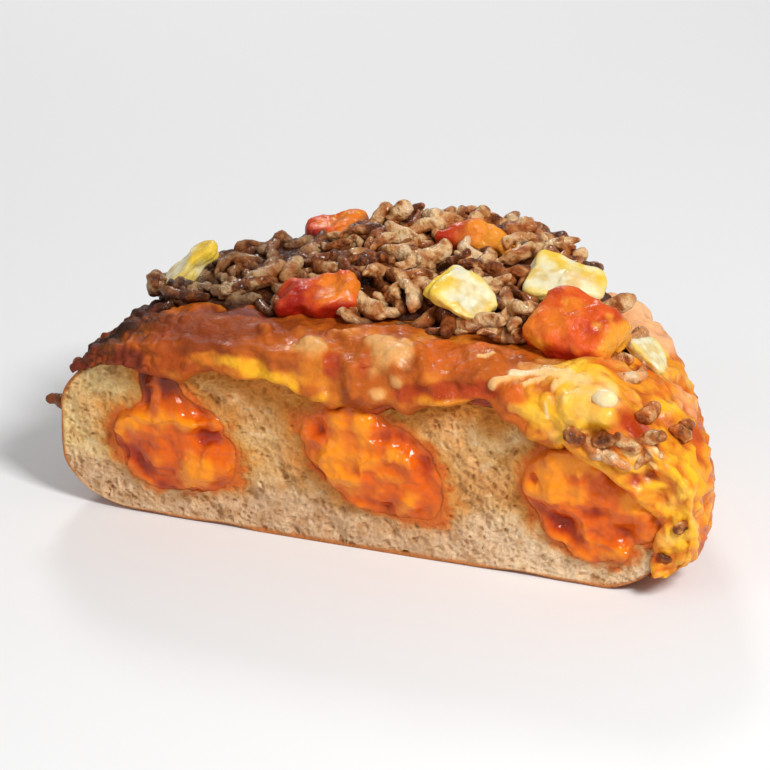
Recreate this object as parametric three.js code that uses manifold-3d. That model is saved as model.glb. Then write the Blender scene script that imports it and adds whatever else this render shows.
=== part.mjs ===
// Half of a round, thick cheeseburger pizza, cut straight across. Units are millimetres, +Z is up.
//
// The loaf is a disc of soft crumb. Its cut face looks along -Y and shows three pockets of cheddar
// sauce. On the crumb lie a thin layer of tomato sauce and a layer of melted cheese, which runs down
// over the right-hand end and round the corner on to the cut face. Minced beef is heaped on the
// cheese, with dice of tomato and onion sunk into it.
//
// Everything is worked out in the disc's own frame, with the disc's centre on the Z axis and the cut
// through it at y = 0. The last lines move it back, so that the origin is on the flat underside.

import * as THREE from "three";
import { mergeVertices } from "three/addons/utils/BufferGeometryUtils.js";
import Module from "manifold-3d";

// Driving dimensions of the loaf and its layers.
const DISC_RADIUS = 65;
const CRUMB_HEIGHT = 35;
const LOW_CORNER = { reach: 15, rise: 13 };
const TOP_CORNER = { reach: 8, drop: 6 };
const END_CORNER = { reach: 20, drop: 14 };
const LAYER_GAP = 0.45;
const PIECE_GAP = 0.35;
const TOMATO_THICKNESS = 1.6;
const CHEESE_THICKNESS = 4.6;
const CHEESE_TAIL = 1.5;
const CHEESE_OFF_FLOOR = 1.2;
const FRONT_OVERHANG = 2;
const DRAPE_DEPTH = 3.8;
const MINCE_CORE_HEIGHT = 6.6;
const STRAND_RADIUS = 1.35;
const ORIGIN_BEHIND_CUT = 33;

// The layers thin out towards the left-hand end: their share of full thickness there, and where.
const THIN_END = { share: 0.4, from: -62, to: -26 };

// How finely the surfaces are divided.
const COLUMNS = 60;
const TOP_ROWS = 3;
const CHEESE_TOP_ROWS = 7;
const CHEESE_SIDE_ROWS = 6;
const CORNER_ROWS = 4;
const TOMATO_EDGE_ROWS = 3;
const SIDE_ROWS = 2;
const CRUMB_FACE_CELLS = [36, 15];
const CHEESE_FACE_CELLS = [48, 25];

const COLOURS = {
  crumb: 0xd9bf94,
  cheddar: 0xf07a12,
  tomatoSauce: 0xc2481a,
  cheese: 0xe8961f,
  beef: 0x7a5a40,
  tomato: 0xe2481c,
  onion: 0xf0dca0,
};

const wasm = await Module();
wasm.setup();

// ---------------------------------------------------------------- shared tools

const degrees = THREE.MathUtils.degToRad;
const mix = THREE.MathUtils.lerp;
const smooth = THREE.MathUtils.smoothstep;

// A repeatable stream of random numbers from 0 to 1.
function randomStream(seed) {
  let state = seed >>> 0;
  return () => {
    state = (state + 0x6d2b79f5) >>> 0;
    let t = Math.imul(state ^ (state >>> 15), state | 1);
    t ^= t + Math.imul(t ^ (t >>> 7), t | 61);
    return ((t ^ (t >>> 14)) >>> 0) / 4294967296;
  };
}

// Soft lumps between -1 and 1, from a few crossed waves of about the given size.
function lumps(x, y, z, size, phase = 0) {
  const k = (2 * Math.PI) / size;
  const a = Math.sin(k * (x + 0.4 * z) + phase) * Math.cos(k * 0.9 * (y - 0.3 * x) + 1.7 * phase);
  const b = Math.sin(k * 1.7 * (y + 0.5 * z) + 2.3 + phase) * Math.cos(k * 1.6 * (x - 0.6 * y) - phase);
  const c = Math.sin(k * 0.8 * (z + x - y) + 4.1 * phase);
  return 0.5 * a + 0.3 * b + 0.2 * c;
}

// A closed surface wrapped round an axis: row 0 and the last row are single points, and each row
// between them is a ring. pointAt(row, turn) gives a point, with turn from 0 to 1 round the ring.
function wrappedGeometry(rows, columns, pointAt) {
  const positions = [...pointAt(0, 0)];
  for (let row = 1; row < rows; row++) {
    for (let column = 0; column < columns; column++) positions.push(...pointAt(row, column / columns));
  }
  positions.push(...pointAt(rows, 0));
  const last = positions.length / 3 - 1;
  const at = (row, column) => {
    if (row === 0) return 0;
    if (row === rows) return last;
    return 1 + (row - 1) * columns + (column % columns);
  };
  const index = [];
  for (let row = 0; row < rows; row++) {
    for (let column = 0; column < columns; column++) {
      if (row < rows - 1) index.push(at(row, column), at(row + 1, column + 1), at(row + 1, column));
      if (row > 0) index.push(at(row, column), at(row, column + 1), at(row + 1, column + 1));
    }
  }
  const geometry = new THREE.BufferGeometry();
  geometry.setAttribute("position", new THREE.Float32BufferAttribute(positions, 3));
  geometry.setIndex(index);
  return geometry;
}

// Moves every vertex of a geometry by a function of its place.
function reshaped(geometry, moveTo) {
  const position = geometry.getAttribute("position");
  for (let i = 0; i < position.count; i++) {
    const [x, y, z] = moveTo(position.getX(i), position.getY(i), position.getZ(i));
    position.setXYZ(i, x, y, z);
  }
  return geometry;
}

function toSolid(geometry) {
  const bare = new THREE.BufferGeometry();
  bare.setAttribute("position", geometry.getAttribute("position"));
  if (geometry.index) bare.setIndex(geometry.index);
  const merged = mergeVertices(bare, 1e-4);
  const mesh = new wasm.Mesh({
    numProp: 3,
    vertProperties: new Float32Array(merged.getAttribute("position").array),
    triVerts: new Uint32Array(merged.index.array),
  });
  return new wasm.Manifold(mesh);
}

// The biggest body of a solid: cutting can leave crumbs, which are dropped.
function mainBody(solid) {
  return solid.decompose().reduce((best, body) => (body.volume() > best.volume() ? body : best));
}

function toGeometry(solid) {
  const { numProp, vertProperties, triVerts } = solid.getMesh();
  const positions = [];
  for (let i = 0; i < vertProperties.length; i += numProp) {
    positions.push(vertProperties[i], vertProperties[i + 1], vertProperties[i + 2]);
  }
  const geometry = new THREE.BufferGeometry();
  geometry.setAttribute("position", new THREE.Float32BufferAttribute(positions, 3));
  geometry.setIndex([...triVerts]);
  geometry.computeVertexNormals();
  return geometry;
}

// ---------------------------------------------------------------- the loaf's surface

// The hand-shaped rim is not quite round.
function rimWave(angle) {
  const slow = 0.7 * Math.sin(3 * angle + 0.6) + 0.5 * Math.sin(5 * angle + 2.1);
  return slow + 0.3 * Math.sin(9 * angle + 0.3);
}

// The top corner is tight round the back, and much rounder at both ends of the cut.
function topCorner(angle) {
  const atEnd = smooth(Math.abs(Math.cos(angle)), 0.45, 1);
  return {
    reach: mix(TOP_CORNER.reach, END_CORNER.reach, atEnd),
    drop: mix(TOP_CORNER.drop, END_CORNER.drop, atEnd),
  };
}

// The height gained from the rim to the middle, as a share of the way in.
function crown(inward) {
  return 1.2 * smooth(inward, 0, 1);
}

// A point of the loaf's surface, pushed outwards by an offset. The station runs from 0 at the middle
// of the underside through 1 to 2 round the low corner, to 3 up the side, to 4 round the top corner
// and to 5 at the middle of the top.
function skinPoint(angle, station, offset) {
  const rim = DISC_RADIUS + rimWave(angle) + offset;
  const low = { reach: LOW_CORNER.reach + offset, rise: LOW_CORNER.rise + offset };
  const corner = topCorner(angle);
  const shoulder = CRUMB_HEIGHT - corner.drop;
  const top = { reach: corner.reach + offset, drop: corner.drop + offset };
  const turn = ((station % 1) * Math.PI) / 2;
  let radius;
  let z;
  if (station < 1) {
    radius = station * (rim - low.reach);
    z = -offset;
  } else if (station < 2) {
    radius = rim - low.reach + low.reach * Math.sin(turn);
    z = -offset + low.rise * (1 - Math.cos(turn));
  } else if (station < 3) {
    radius = rim;
    z = mix(LOW_CORNER.rise, shoulder, station - 2);
  } else if (station < 4) {
    radius = rim - top.reach * (1 - Math.cos(turn));
    z = shoulder + top.drop * Math.sin(turn);
  } else {
    radius = (5 - station) * (rim - top.reach);
    z = CRUMB_HEIGHT + offset + crown(station - 4);
  }
  return [radius * Math.cos(angle), radius * Math.sin(angle), z];
}

// The height of the upper surface above a place, at an offset from the crumb.
function skinHeight(x, y, offset) {
  const angle = Math.atan2(y, x);
  const corner = topCorner(angle);
  const rim = DISC_RADIUS + rimWave(angle) + offset;
  const reach = corner.reach + offset;
  const radius = Math.hypot(x, y);
  const past = radius - (rim - reach);
  if (past <= 0) return CRUMB_HEIGHT + offset + crown(1 - radius / (rim - reach));
  const share = Math.sqrt(Math.max(0, 1 - (past / reach) ** 2));
  return CRUMB_HEIGHT - corner.drop + (corner.drop + offset) * share;
}

// Stations from one to another, in equal steps.
function stationsBetween(from, to, steps) {
  return Array.from({ length: steps + 1 }, (_, i) => mix(from, to, i / steps));
}

// A knife's path through the disc: a block in front of it, whose back face follows frontAt(x, z).
function knife(frontAt, divisions = [1, 1]) {
  const far = 90;
  const box = new THREE.BoxGeometry(2 * far, far, 72, divisions[0], 1, divisions[1]);
  box.translate(0, -far / 2, 28);
  return toSolid(reshaped(box, (x, y, z) => [x, y > -1 ? frontAt(x, z) : y, z]));
}

// ---------------------------------------------------------------- the cheddar pockets

// Each pocket's middle on the cut face, its half-sizes, and how far its outline leans.
const POCKETS = {
  left: { x: -38, z: 16.6, width: 14.2, height: 10.4, depth: 13, lean: 0.0, phase: 0.4 },
  middle: { x: 4.5, z: 19.8, width: 14.6, height: 11.6, depth: 14, lean: -0.42, phase: 2.2 },
  right: { x: 49.5, z: 18.4, width: 13.0, height: 12.0, depth: 13, lean: -0.1, phase: 4.0 },
};
const POCKET_FRONT = 2.1;

// A lumpy egg of sauce. It stands a little proud of the cut face.
function pocketSolid(pocket, grow) {
  const rows = 9;
  const columns = 16;
  const pointAt = (row, turn) => {
    const tilt = Math.PI * (row / rows);
    const spin = 2 * Math.PI * turn;
    const side = Math.sin(tilt) * Math.cos(spin);
    const up = Math.sin(tilt) * Math.sin(spin);
    const front = -Math.cos(tilt);
    const swell = 1 + 0.13 * lumps(10 * side, 10 * front, 10 * up, 13, pocket.phase);
    const dz = (pocket.height * swell + grow) * up;
    const dx = (pocket.width * swell + grow) * side + pocket.lean * dz;
    const reach = front > 0 ? POCKET_FRONT : pocket.depth;
    return [pocket.x + dx, -(reach * swell + grow) * front, pocket.z + dz];
  };
  return toSolid(wrappedGeometry(rows, columns, pointAt));
}

// Where the left pocket was filled: a neck of sauce from the crumb's top down into the pocket.
const NECK = { x: -43, radius: 3.6, foot: 22 };

function neckSolid(grow) {
  const top = CRUMB_HEIGHT + 0.05;
  const neck = new THREE.CylinderGeometry(
    NECK.radius + grow,
    NECK.radius * 0.8 + grow,
    top + 4 - NECK.foot,
    10,
    2,
  );
  neck.rotateX(Math.PI / 2);
  neck.translate(NECK.x, 0.6, (top + 4 + NECK.foot) / 2);
  return toSolid(neck);
}

// All of the sauce that one well holds.
function wellFilling(name, grow) {
  const pocket = pocketSolid(POCKETS[name], grow);
  return name === "left" ? pocket.add(neckSolid(grow)) : pocket;
}

// ---------------------------------------------------------------- crumb and crust

const CRUMB_RELIEF = { depth: 0.55, size: 11 };
const ROOM_FRONT = -CRUMB_RELIEF.depth - PIECE_GAP;

// The whole loaf, before it is cut. Its crust is dented, never bulged, so the layers stay clear.
function loafSolid(grow) {
  const stations = [
    ...stationsBetween(0, 1, 2),
    ...stationsBetween(1, 2, CORNER_ROWS).slice(1),
    ...stationsBetween(2, 3, SIDE_ROWS).slice(1),
    ...stationsBetween(3, 4, CORNER_ROWS).slice(1),
    ...stationsBetween(4, 5, TOP_ROWS).slice(1),
  ];
  const pointAt = (row, turn) => {
    const station = stations[row];
    const [x, y, z] = skinPoint(2 * Math.PI * turn, station, grow);
    const onSide = station > 1.1 && station < 3.9 ? 1 : 0;
    const dent = 0.5 * onSide * (0.5 + 0.5 * lumps(x, y, z, 16, 1.3));
    const inward = 1 - dent / Math.hypot(x, y, 1e-6);
    return [x * inward, y * inward, z];
  };
  return toSolid(wrappedGeometry(stations.length - 1, COLUMNS, pointAt));
}

// Crumbs of beef baked on to the crust at the left-hand end.
const BAKED_ON = [
  { at: [-65.4, 2.6, 21], heading: 165, rise: 0.1, length: 5.5 },
  { at: [-61.6, 6, 28.2], heading: 150, rise: 0.5, length: 4.5 },
];

function breadSolid() {
  const face = (x, z) => CRUMB_RELIEF.depth * lumps(x, 3, z, CRUMB_RELIEF.size, 0.9);
  const nubs = BAKED_ON.map(({ at, heading, rise, length }, i) => {
    return strandSolid(at, degrees(heading), rise, length, i);
  });
  const loaf = wasm.Manifold.union([loafSolid(0), ...nubs]);
  const wells = Object.keys(POCKETS).map((name) => wellFilling(name, PIECE_GAP));
  return mainBody(loaf.subtract(wasm.Manifold.union([knife(face, CRUMB_FACE_CELLS), ...wells])));
}

// Everything that the bread and its layers fill, a gap bigger, for what lies against them.
function breadRoom() {
  const room = loafSolid(LAYER_GAP).add(tomatoLayer(LAYER_GAP));
  return room.subtract(knife(() => ROOM_FRONT));
}

// ---------------------------------------------------------------- tomato sauce

function thinning(x) {
  return mix(THIN_END.share, 1, smooth(x, THIN_END.from, THIN_END.to));
}

// Offsets from the crumb's own surface at which each layer starts and ends, above a place along X.
function tomatoOver(x) {
  return LAYER_GAP + TOMATO_THICKNESS * thinning(x);
}

function cheeseUnder(x) {
  return tomatoOver(x) + LAYER_GAP;
}

// The sauce stops short of the rim, in a wavy line round the top corner.
function tomatoEdge(angle) {
  const waves = 0.12 * Math.sin(6 * angle + 1) + 0.08 * Math.sin(11 * angle);
  return mix(3.5, 3.75, leftEnd(angle)) + waves;
}

// 1 at the left-hand end of the cut and over the rim next to it, 0 elsewhere.
function leftEnd(angle) {
  return smooth(Math.abs(Math.atan2(Math.sin(angle), Math.cos(angle))), degrees(128), degrees(160));
}

// A layer that lies on the loaf: out along its underside to its edge, and back along its upper side.
function tomatoLayer(grow) {
  const bend = (edge) => stationsBetween(4, edge, TOMATO_EDGE_ROWS).slice(1);
  const count = TOP_ROWS + TOMATO_EDGE_ROWS + 1;
  const pointAt = (row, turn) => {
    const angle = 2 * Math.PI * turn;
    const path = [...stationsBetween(5, 4, TOP_ROWS), ...bend(tomatoEdge(angle) - 0.1 * grow)];
    const under = row < count;
    const station = under ? path[row] : path[2 * count - 1 - row];
    const over = tomatoOver(skinPoint(angle, station, 0)[0]) + grow;
    return skinPoint(angle, station, under ? LAYER_GAP - grow : over);
  };
  return toSolid(wrappedGeometry(2 * count - 1, COLUMNS, pointAt));
}

function tomatoSolid() {
  const face = (x, z) => 0.3 * lumps(x, 3, z, 17, 0.9);
  return mainBody(tomatoLayer(0).subtract(knife(face, [30, 1])));
}

// ---------------------------------------------------------------- melted cheese

// The cheese runs down to the foot of the right-hand end, and elsewhere stops just over the rim.
const RUN_DOWN = { middle: degrees(6), half: degrees(34), fade: degrees(26), station: 1.62 };

function cheeseEdge(angle) {
  const away = Math.abs(Math.atan2(Math.sin(angle - RUN_DOWN.middle), Math.cos(angle - RUN_DOWN.middle)));
  const run = 1 - smooth(away, RUN_DOWN.half, RUN_DOWN.half + RUN_DOWN.fade);
  const drips = 0.22 * Math.sin(7 * angle + 0.8) + 0.16 * Math.sin(12 * angle + 2.5);
  const rim = mix(3.15 + drips, 3.45 + 0.4 * drips, leftEnd(angle));
  return mix(rim, RUN_DOWN.station + 0.3 * drips, run);
}

// Where the molten cheese has gathered in lumps behind the cut, and how far each swells.
const FRONT_LUMPS = [
  { x: -38, y: 5, reach: 8, swell: 1.2 },
  { x: -19, y: 4, reach: 9, swell: 1.0 },
  { x: 6, y: 4, reach: 8, swell: 2.2 },
  { x: 28, y: 5, reach: 8, swell: 1.8 },
  { x: 45, y: 6, reach: 9, swell: 1.6 },
];

function frontSwell(x, y) {
  const bell = (lump) => lump.swell * Math.exp(-((x - lump.x) ** 2 + (y - lump.y) ** 2) / lump.reach ** 2);
  return FRONT_LUMPS.reduce((sum, lump) => sum + bell(lump), 0);
}

// The cheese is thick on top, thinner on the side, and rounded off at its edge and at the cut.
function cheeseOffset(angle, station) {
  const edge = cheeseEdge(angle);
  const nearEdge = smooth(station, edge, edge + 0.7);
  const [x, y, z] = skinPoint(angle, station, LAYER_GAP);
  const atCut = 0.62 + 0.38 * smooth(y, -2, 9);
  const onTop = mix(0.82, 1, smooth(station, 2.6, 4));
  const runny = 1 - smooth(station, 3.4, 4.2);
  const swell = 1 + mix(0.14, 0.38, runny) * lumps(x, y, z, mix(19, 13, runny), 0.2);
  const body = CHEESE_THICKNESS * onTop * swell * atCut * thinning(x) + frontSwell(x, y);
  return cheeseUnder(x) + mix(CHEESE_TAIL * thinning(x), body, nearEdge);
}

// The cheese's outer surface, closed across from its edge to the loaf's axis.
function cheeseBlank(grow) {
  const rows = 1 + CHEESE_SIDE_ROWS + CHEESE_TOP_ROWS;
  const pointAt = (row, turn) => {
    if (row === 0) return [0, 0, CRUMB_HEIGHT / 3];
    const angle = 2 * Math.PI * turn;
    const side = stationsBetween(cheeseEdge(angle), 4, CHEESE_SIDE_ROWS);
    const station = [...side, ...stationsBetween(4, 5, CHEESE_TOP_ROWS).slice(1)][row - 1];
    return skinPoint(angle, station, cheeseOffset(angle, station) + grow);
  };
  return toSolid(wrappedGeometry(rows, COLUMNS, pointAt));
}

// The height of the cheese's upper side above a place.
function cheeseTop(x, y) {
  const offset = cheeseOffset(Math.atan2(y, x), 5 - Math.min(1, Math.hypot(x, y) / DISC_RADIUS));
  return skinHeight(x, y, offset);
}

// On the cut face the cheese hangs over the right-hand corner: its edge there, as X at each height,
// runs from the loaf's foot inwards as it rises. Elsewhere it droops in lips over the crumb's edge.
const DRAPE = { foot: 66, reach: 26, from: 11, to: 39, softness: 4 };
const LIPS = [
  { x: -21, reach: 10, drop: 3.4 },
  { x: 22, reach: 9, drop: 3 },
  { x: 38, reach: 8, drop: 4 },
];
const LIP_TOP = CRUMB_HEIGHT + 2.6;

function drapeShare(x, z) {
  const ragged = 1.5 * Math.sin(0.62 * z + 0.4) + 0.8 * Math.sin(1.3 * z);
  const edge = DRAPE.foot - DRAPE.reach * smooth(z, DRAPE.from, DRAPE.to) + ragged;
  return smooth(x - edge, -1, DRAPE.softness - 1);
}

function lipShare(x, z) {
  const drop = LIPS.reduce((sum, lip) => sum + lip.drop * Math.exp(-(((x - lip.x) / lip.reach) ** 2)), 0);
  return smooth(z, LIP_TOP - drop - 2, LIP_TOP - drop);
}

// How far forward the cheese stands at each place of the cut. Behind ROOM_FRONT there is none.
function cheeseFront(x, z) {
  const soft = 1 + 0.3 * lumps(x, 3, z, 11, 0.9);
  const rounded = 1 - 0.55 * smooth(x, 62, 73);
  const drape = drapeShare(x, z) * DRAPE_DEPTH * soft * rounded;
  const lip = lipShare(x, z) * FRONT_OVERHANG * soft;
  const stands = Math.max(drape, lip);
  return mix(2, -stands, smooth(stands, 0, 0.6 * FRONT_OVERHANG));
}

// Crumbs of beef that lie loose on the cheese beside the heap, as [angle, station] or [x, z].
const LOOSE_ON_SIDE = [
  [18, 3.75],
  [33, 3.4],
  [9, 3.1],
  [24, 2.7],
  [40, 2.5],
  [14, 2.2],
];
const LOOSE_ON_CUT = [
  [49, 33.5],
  [54.5, 30],
  [60, 31.5],
  [63.5, 25.5],
];

function looseBeefSolids() {
  const onSide = LOOSE_ON_SIDE.map(([turn, station], i) => {
    const angle = degrees(turn);
    const at = skinPoint(angle, station, cheeseOffset(angle, station) + 0.4);
    return strandSolid(at, angle + Math.PI / 2, 0.9 - 0.6 * (i % 4), 4.5, i);
  });
  const onCut = LOOSE_ON_CUT.map(([x, z], i) => {
    return strandSolid([x, cheeseFront(x, z) - 0.4, z], 0, 0.7 - 0.5 * (i % 3), 4.8, i);
  });
  return [...onSide, ...onCut];
}

// Round beads and lumps of cheese that stand out of it at the right-hand end.
const BEADS = [
  { at: [52, 0.3, 42], half: [3.2, 2.4, 2.3] },
  { at: [44.5, 46, 43.4], half: [3.6, 3.4, 3] },
  { at: [52, 38, 40.4], half: [3, 2.8, 2.6] },
  { at: [65, 19.5, 37], half: [2.6, 2.2, 2.2] },
  { at: [72.4, 4.5, 33], half: [2.8, 1.8, 1.7] },
];

function beadSolid({ at, half }, grow) {
  const bead = new THREE.SphereGeometry(1, 7, 5);
  bead.scale(half[0] + grow, half[1] + grow, half[2] + grow);
  bead.translate(...at);
  return toSolid(bead);
}

function cheeseSolid(chunks) {
  const sheet = cheeseBlank(0).subtract(knife(cheeseFront, CHEESE_FACE_CELLS));
  const floor = new THREE.BoxGeometry(200, 200, 20);
  floor.translate(0, 0, CHEESE_OFF_FLOOR - 10);
  const wells = Object.keys(POCKETS).map((name) => wellFilling(name, PIECE_GAP));
  const beads = BEADS.map((bead) => beadSolid(bead, 0));
  const lumpy = wasm.Manifold.union([sheet, ...beads, ...looseBeefSolids()]);
  const clear = wasm.Manifold.union([breadRoom(), toSolid(floor), ...wells, ...chunks]);
  return mainBody(lumpy.subtract(clear));
}

// ---------------------------------------------------------------- minced beef

// One strand of mince: a short, bent, blunt worm that lies along a heading in the plane.
function strandSolid(centre, heading, rise, length, seed) {
  const random = randomStream(971 * seed + 13);
  const sides = 5;
  const shares = [0, 0.16, 0.84, 1];
  const radii = [0, mix(0.8, 1.2, random()), mix(0.8, 1.2, random()), 0];
  const bend = mix(-0.2, 0.2, random()) * length;
  const along = new THREE.Vector3(Math.cos(heading), Math.sin(heading), rise).normalize();
  const across = new THREE.Vector3(0, 0, 1).cross(along).normalize();
  const up = along.clone().cross(across);
  const pointAt = (row, turn) => {
    const share = shares[row];
    const radius = STRAND_RADIUS * radii[row];
    const spin = 2 * Math.PI * turn;
    return new THREE.Vector3(...centre)
      .addScaledVector(along, (share - 0.5) * length)
      .addScaledVector(across, bend * (2 * share - 1) ** 2 + radius * Math.cos(spin))
      .addScaledVector(up, radius * Math.sin(spin))
      .toArray();
  };
  return toSolid(wrappedGeometry(shares.length - 1, sides, pointAt));
}

// The heap's outline, as a distance from its middle in each direction.
const HEAP_MIDDLE = { x: -1, y: 35 };

function heapReach(direction) {
  const dx = Math.cos(direction);
  const dy = Math.sin(direction);
  const toFront = dy < -0.02 ? (HEAP_MIDDLE.y - 15) / -dy : Infinity;
  const along = HEAP_MIDDLE.x * dx + HEAP_MIDDLE.y * dy;
  const apart = HEAP_MIDDLE.x ** 2 + HEAP_MIDDLE.y ** 2;
  const rimRadius = 64.5;
  const toRim = -along + Math.sqrt(along ** 2 - apart + rimRadius ** 2);
  const waves = 1 + 0.035 * Math.sin(9 * direction) + 0.03 * Math.sin(14 * direction + 1);
  const nearest = 1 / ((1 / toFront) ** 5 + (1 / toRim) ** 5) ** 0.2;
  return nearest * waves;
}

// How far in from the heap's outline a place is: 1 in the middle, 0 at the edge.
function heapInward(x, y) {
  const dx = x - HEAP_MIDDLE.x;
  const dy = y - HEAP_MIDDLE.y;
  return 1 - Math.hypot(dx, dy) / heapReach(Math.atan2(dy, dx));
}

// The heap is lower over the left-hand end, and rises from the front towards the rim behind.
function coreHeight(x, y) {
  const swell = 1 + 0.2 * lumps(x, y, 0, 15, 1.1);
  const alongCut = mix(0.12, 1.2, smooth(x, -54, 14)) * mix(1, 0.7, smooth(x, 24, 44));
  const backwards = mix(0.45, 1, smooth(y, 15, 46));
  const slope = mix(0.34, 0.14, smooth(y, 22, 36));
  return MINCE_CORE_HEIGHT * swell * alongCut * backwards * smooth(heapInward(x, y), -0.02, slope);
}

function heapCoreSolid() {
  const rows = 8;
  const columns = 28;
  const pointAt = (row, turn) => {
    const direction = 2 * Math.PI * turn;
    const over = row > rows / 2;
    const out = 1 - Math.abs(row / (rows / 2) - 1);
    const reach = heapReach(direction) * out ** 0.7;
    const x = HEAP_MIDDLE.x + reach * Math.cos(direction);
    const y = HEAP_MIDDLE.y + reach * Math.sin(direction);
    const base = cheeseTop(x, y);
    return [x, y, over ? base + coreHeight(x, y) : base - 1];
  };
  return toSolid(wrappedGeometry(rows, columns, pointAt));
}

const STRAND_SPACING = 7.5;

// Strands over the whole heap: a jittered staggered grid, each piece half sunk in the core.
function heapStrandSolids() {
  const random = randomStream(21);
  const strands = [];
  let seed = 0;
  for (let y = 14; y < 64; y += STRAND_SPACING * 0.87) {
    const shift = (Math.round(y / STRAND_SPACING) % 2) * STRAND_SPACING * 0.5;
    for (let x = -64; x < 62; x += STRAND_SPACING) {
      const px = x + shift + mix(-1.6, 1.6, random());
      const py = y + mix(-1.6, 1.6, random());
      const heading = mix(0, Math.PI, random());
      const rise = mix(-0.35, 0.45, random());
      const length = mix(5.5, 10.5, random());
      seed += 1;
      const inward = heapInward(px, py);
      if (inward < 0.01) continue;
      const z = cheeseTop(px, py) + coreHeight(px, py) + mix(-0.1, 1.5, random());
      strands.push(strandSolid([px, py, z], heading, rise, length, seed));
    }
  }
  return strands;
}

function minceSolid(chunks) {
  const heap = wasm.Manifold.union([heapCoreSolid(), ...heapStrandSolids()]);
  const beads = BEADS.map((bead) => beadSolid(bead, PIECE_GAP));
  const clear = wasm.Manifold.union([cheeseBlank(PIECE_GAP), ...beads, ...chunks]);
  return mainBody(heap.subtract(clear));
}

// ---------------------------------------------------------------- dice of tomato and onion

// Each die: where it lies, how deep it is sunk below the heap's top, its size, and how it is turned.
const DICE = {
  tomato_dice_front: { kind: "tomato", at: [-13.5, 17.5, 1], size: [15, 9, 7.5], turn: [20, -12, 24] },
  tomato_dice_big: { kind: "tomato", at: [40.5, 17, 1.5], size: [17, 13, 10.5], turn: [24, 10, -14] },
  tomato_dice_top: { kind: "tomato", at: [11, 46, 1], size: [16, 7, 5.5], turn: [8, 9, 6] },
  tomato_dice_back: { kind: "tomato", at: [-23, 51.5, 0.2], size: [13, 8, 5], turn: [-8, -9, 8] },
  onion_dice_left: { kind: "onion", at: [-47, 29, 1.2], size: [15, 8, 5], turn: [16, -34, 28] },
  onion_dice_middle: { kind: "onion", at: [16.5, 19.5, 3.8], size: [13, 9, 5], turn: [34, 26, -20] },
  onion_dice_right: { kind: "onion", at: [33, 33, 2.2], size: [16, 10, 6], turn: [28, 14, 6] },
  onion_dice_rim: { kind: "onion", at: [54.5, 22, 1.4], size: [9, 7, 4.5], turn: [10, 36, -30] },
};

// A die with soft edges and an uneven surface. Onion is a curved leaf, tomato a plump cube.
function dieSolid({ kind, at, size, turn }, seed, grow) {
  const onion = kind === "onion";
  const box = onion ? new THREE.BoxGeometry(1, 1, 1, 4, 3, 1) : new THREE.BoxGeometry(1, 1, 1, 3, 3, 3);
  const roundness = onion ? 0.3 : 0.55;
  const [width, depth, height] = size.map((value) => value + 2 * grow);
  reshaped(box, (x, y, z) => {
    const length = Math.hypot(x, y, z) || 1;
    const pull = mix(1, 0.62 / length, roundness) * (1 + 0.14 * lumps(5 * x, 5 * y, 5 * z, 5, seed));
    const curl = onion ? 2.4 * (0.25 - x * x) : 0;
    return [width * x * pull, depth * y * pull, height * z * pull + curl];
  });
  box.applyMatrix4(new THREE.Matrix4().makeRotationFromEuler(new THREE.Euler(...turn.map(degrees))));
  const [x, y, lift] = at;
  const base = cheeseTop(x, y) + coreHeight(x, y);
  box.translate(x, y, base + lift);
  return toSolid(box);
}

// ---------------------------------------------------------------- the assembled half

const object = new THREE.Group();

function addNode(name, solid, colour, roughness) {
  const material = new THREE.MeshStandardMaterial({ color: colour, roughness, metalness: 0 });
  const mesh = new THREE.Mesh(toGeometry(solid), material);
  mesh.name = name;
  object.add(mesh);
}

const dice = Object.entries(DICE);
const diceRoom = dice.map(([, die], i) => dieSolid(die, i, PIECE_GAP));

addNode("bread", breadSolid(), COLOURS.crumb, 0.9);
for (const name of Object.keys(POCKETS)) {
  const aboveCrumb = new THREE.BoxGeometry(200, 200, 40);
  aboveCrumb.translate(0, 0, CRUMB_HEIGHT + 20);
  const infront = knife(() => -POCKET_FRONT);
  const filling = wellFilling(name, 0).subtract(toSolid(aboveCrumb).add(infront));
  addNode(`cheddar_pocket_${name}`, mainBody(filling), COLOURS.cheddar, 0.25);
}
addNode("tomato_sauce", tomatoSolid(), COLOURS.tomatoSauce, 0.3);
addNode("melted_cheese", cheeseSolid(diceRoom), COLOURS.cheese, 0.25);
addNode("beef_mince", minceSolid(diceRoom), COLOURS.beef, 0.5);
dice.forEach(([name, die], i) => addNode(name, dieSolid(die, i, 0), COLOURS[die.kind], 0.2));

for (const mesh of object.children) {
  mesh.geometry.translate(0, -ORIGIN_BEHIND_CUT, 0);
}

export default object;
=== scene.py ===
"""Half of a round, thick cheeseburger pizza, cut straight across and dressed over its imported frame.

Shapes are worked out in the loaf's own frame, in millimetres: the whole disc's centre is on the Z
axis, and the cut is at y = 0 and faces -Y. A finished mesh is moved back behind the cut and put
into metres.
"""

import logging
import math
from dataclasses import dataclass, field
from enum import Enum

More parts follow.
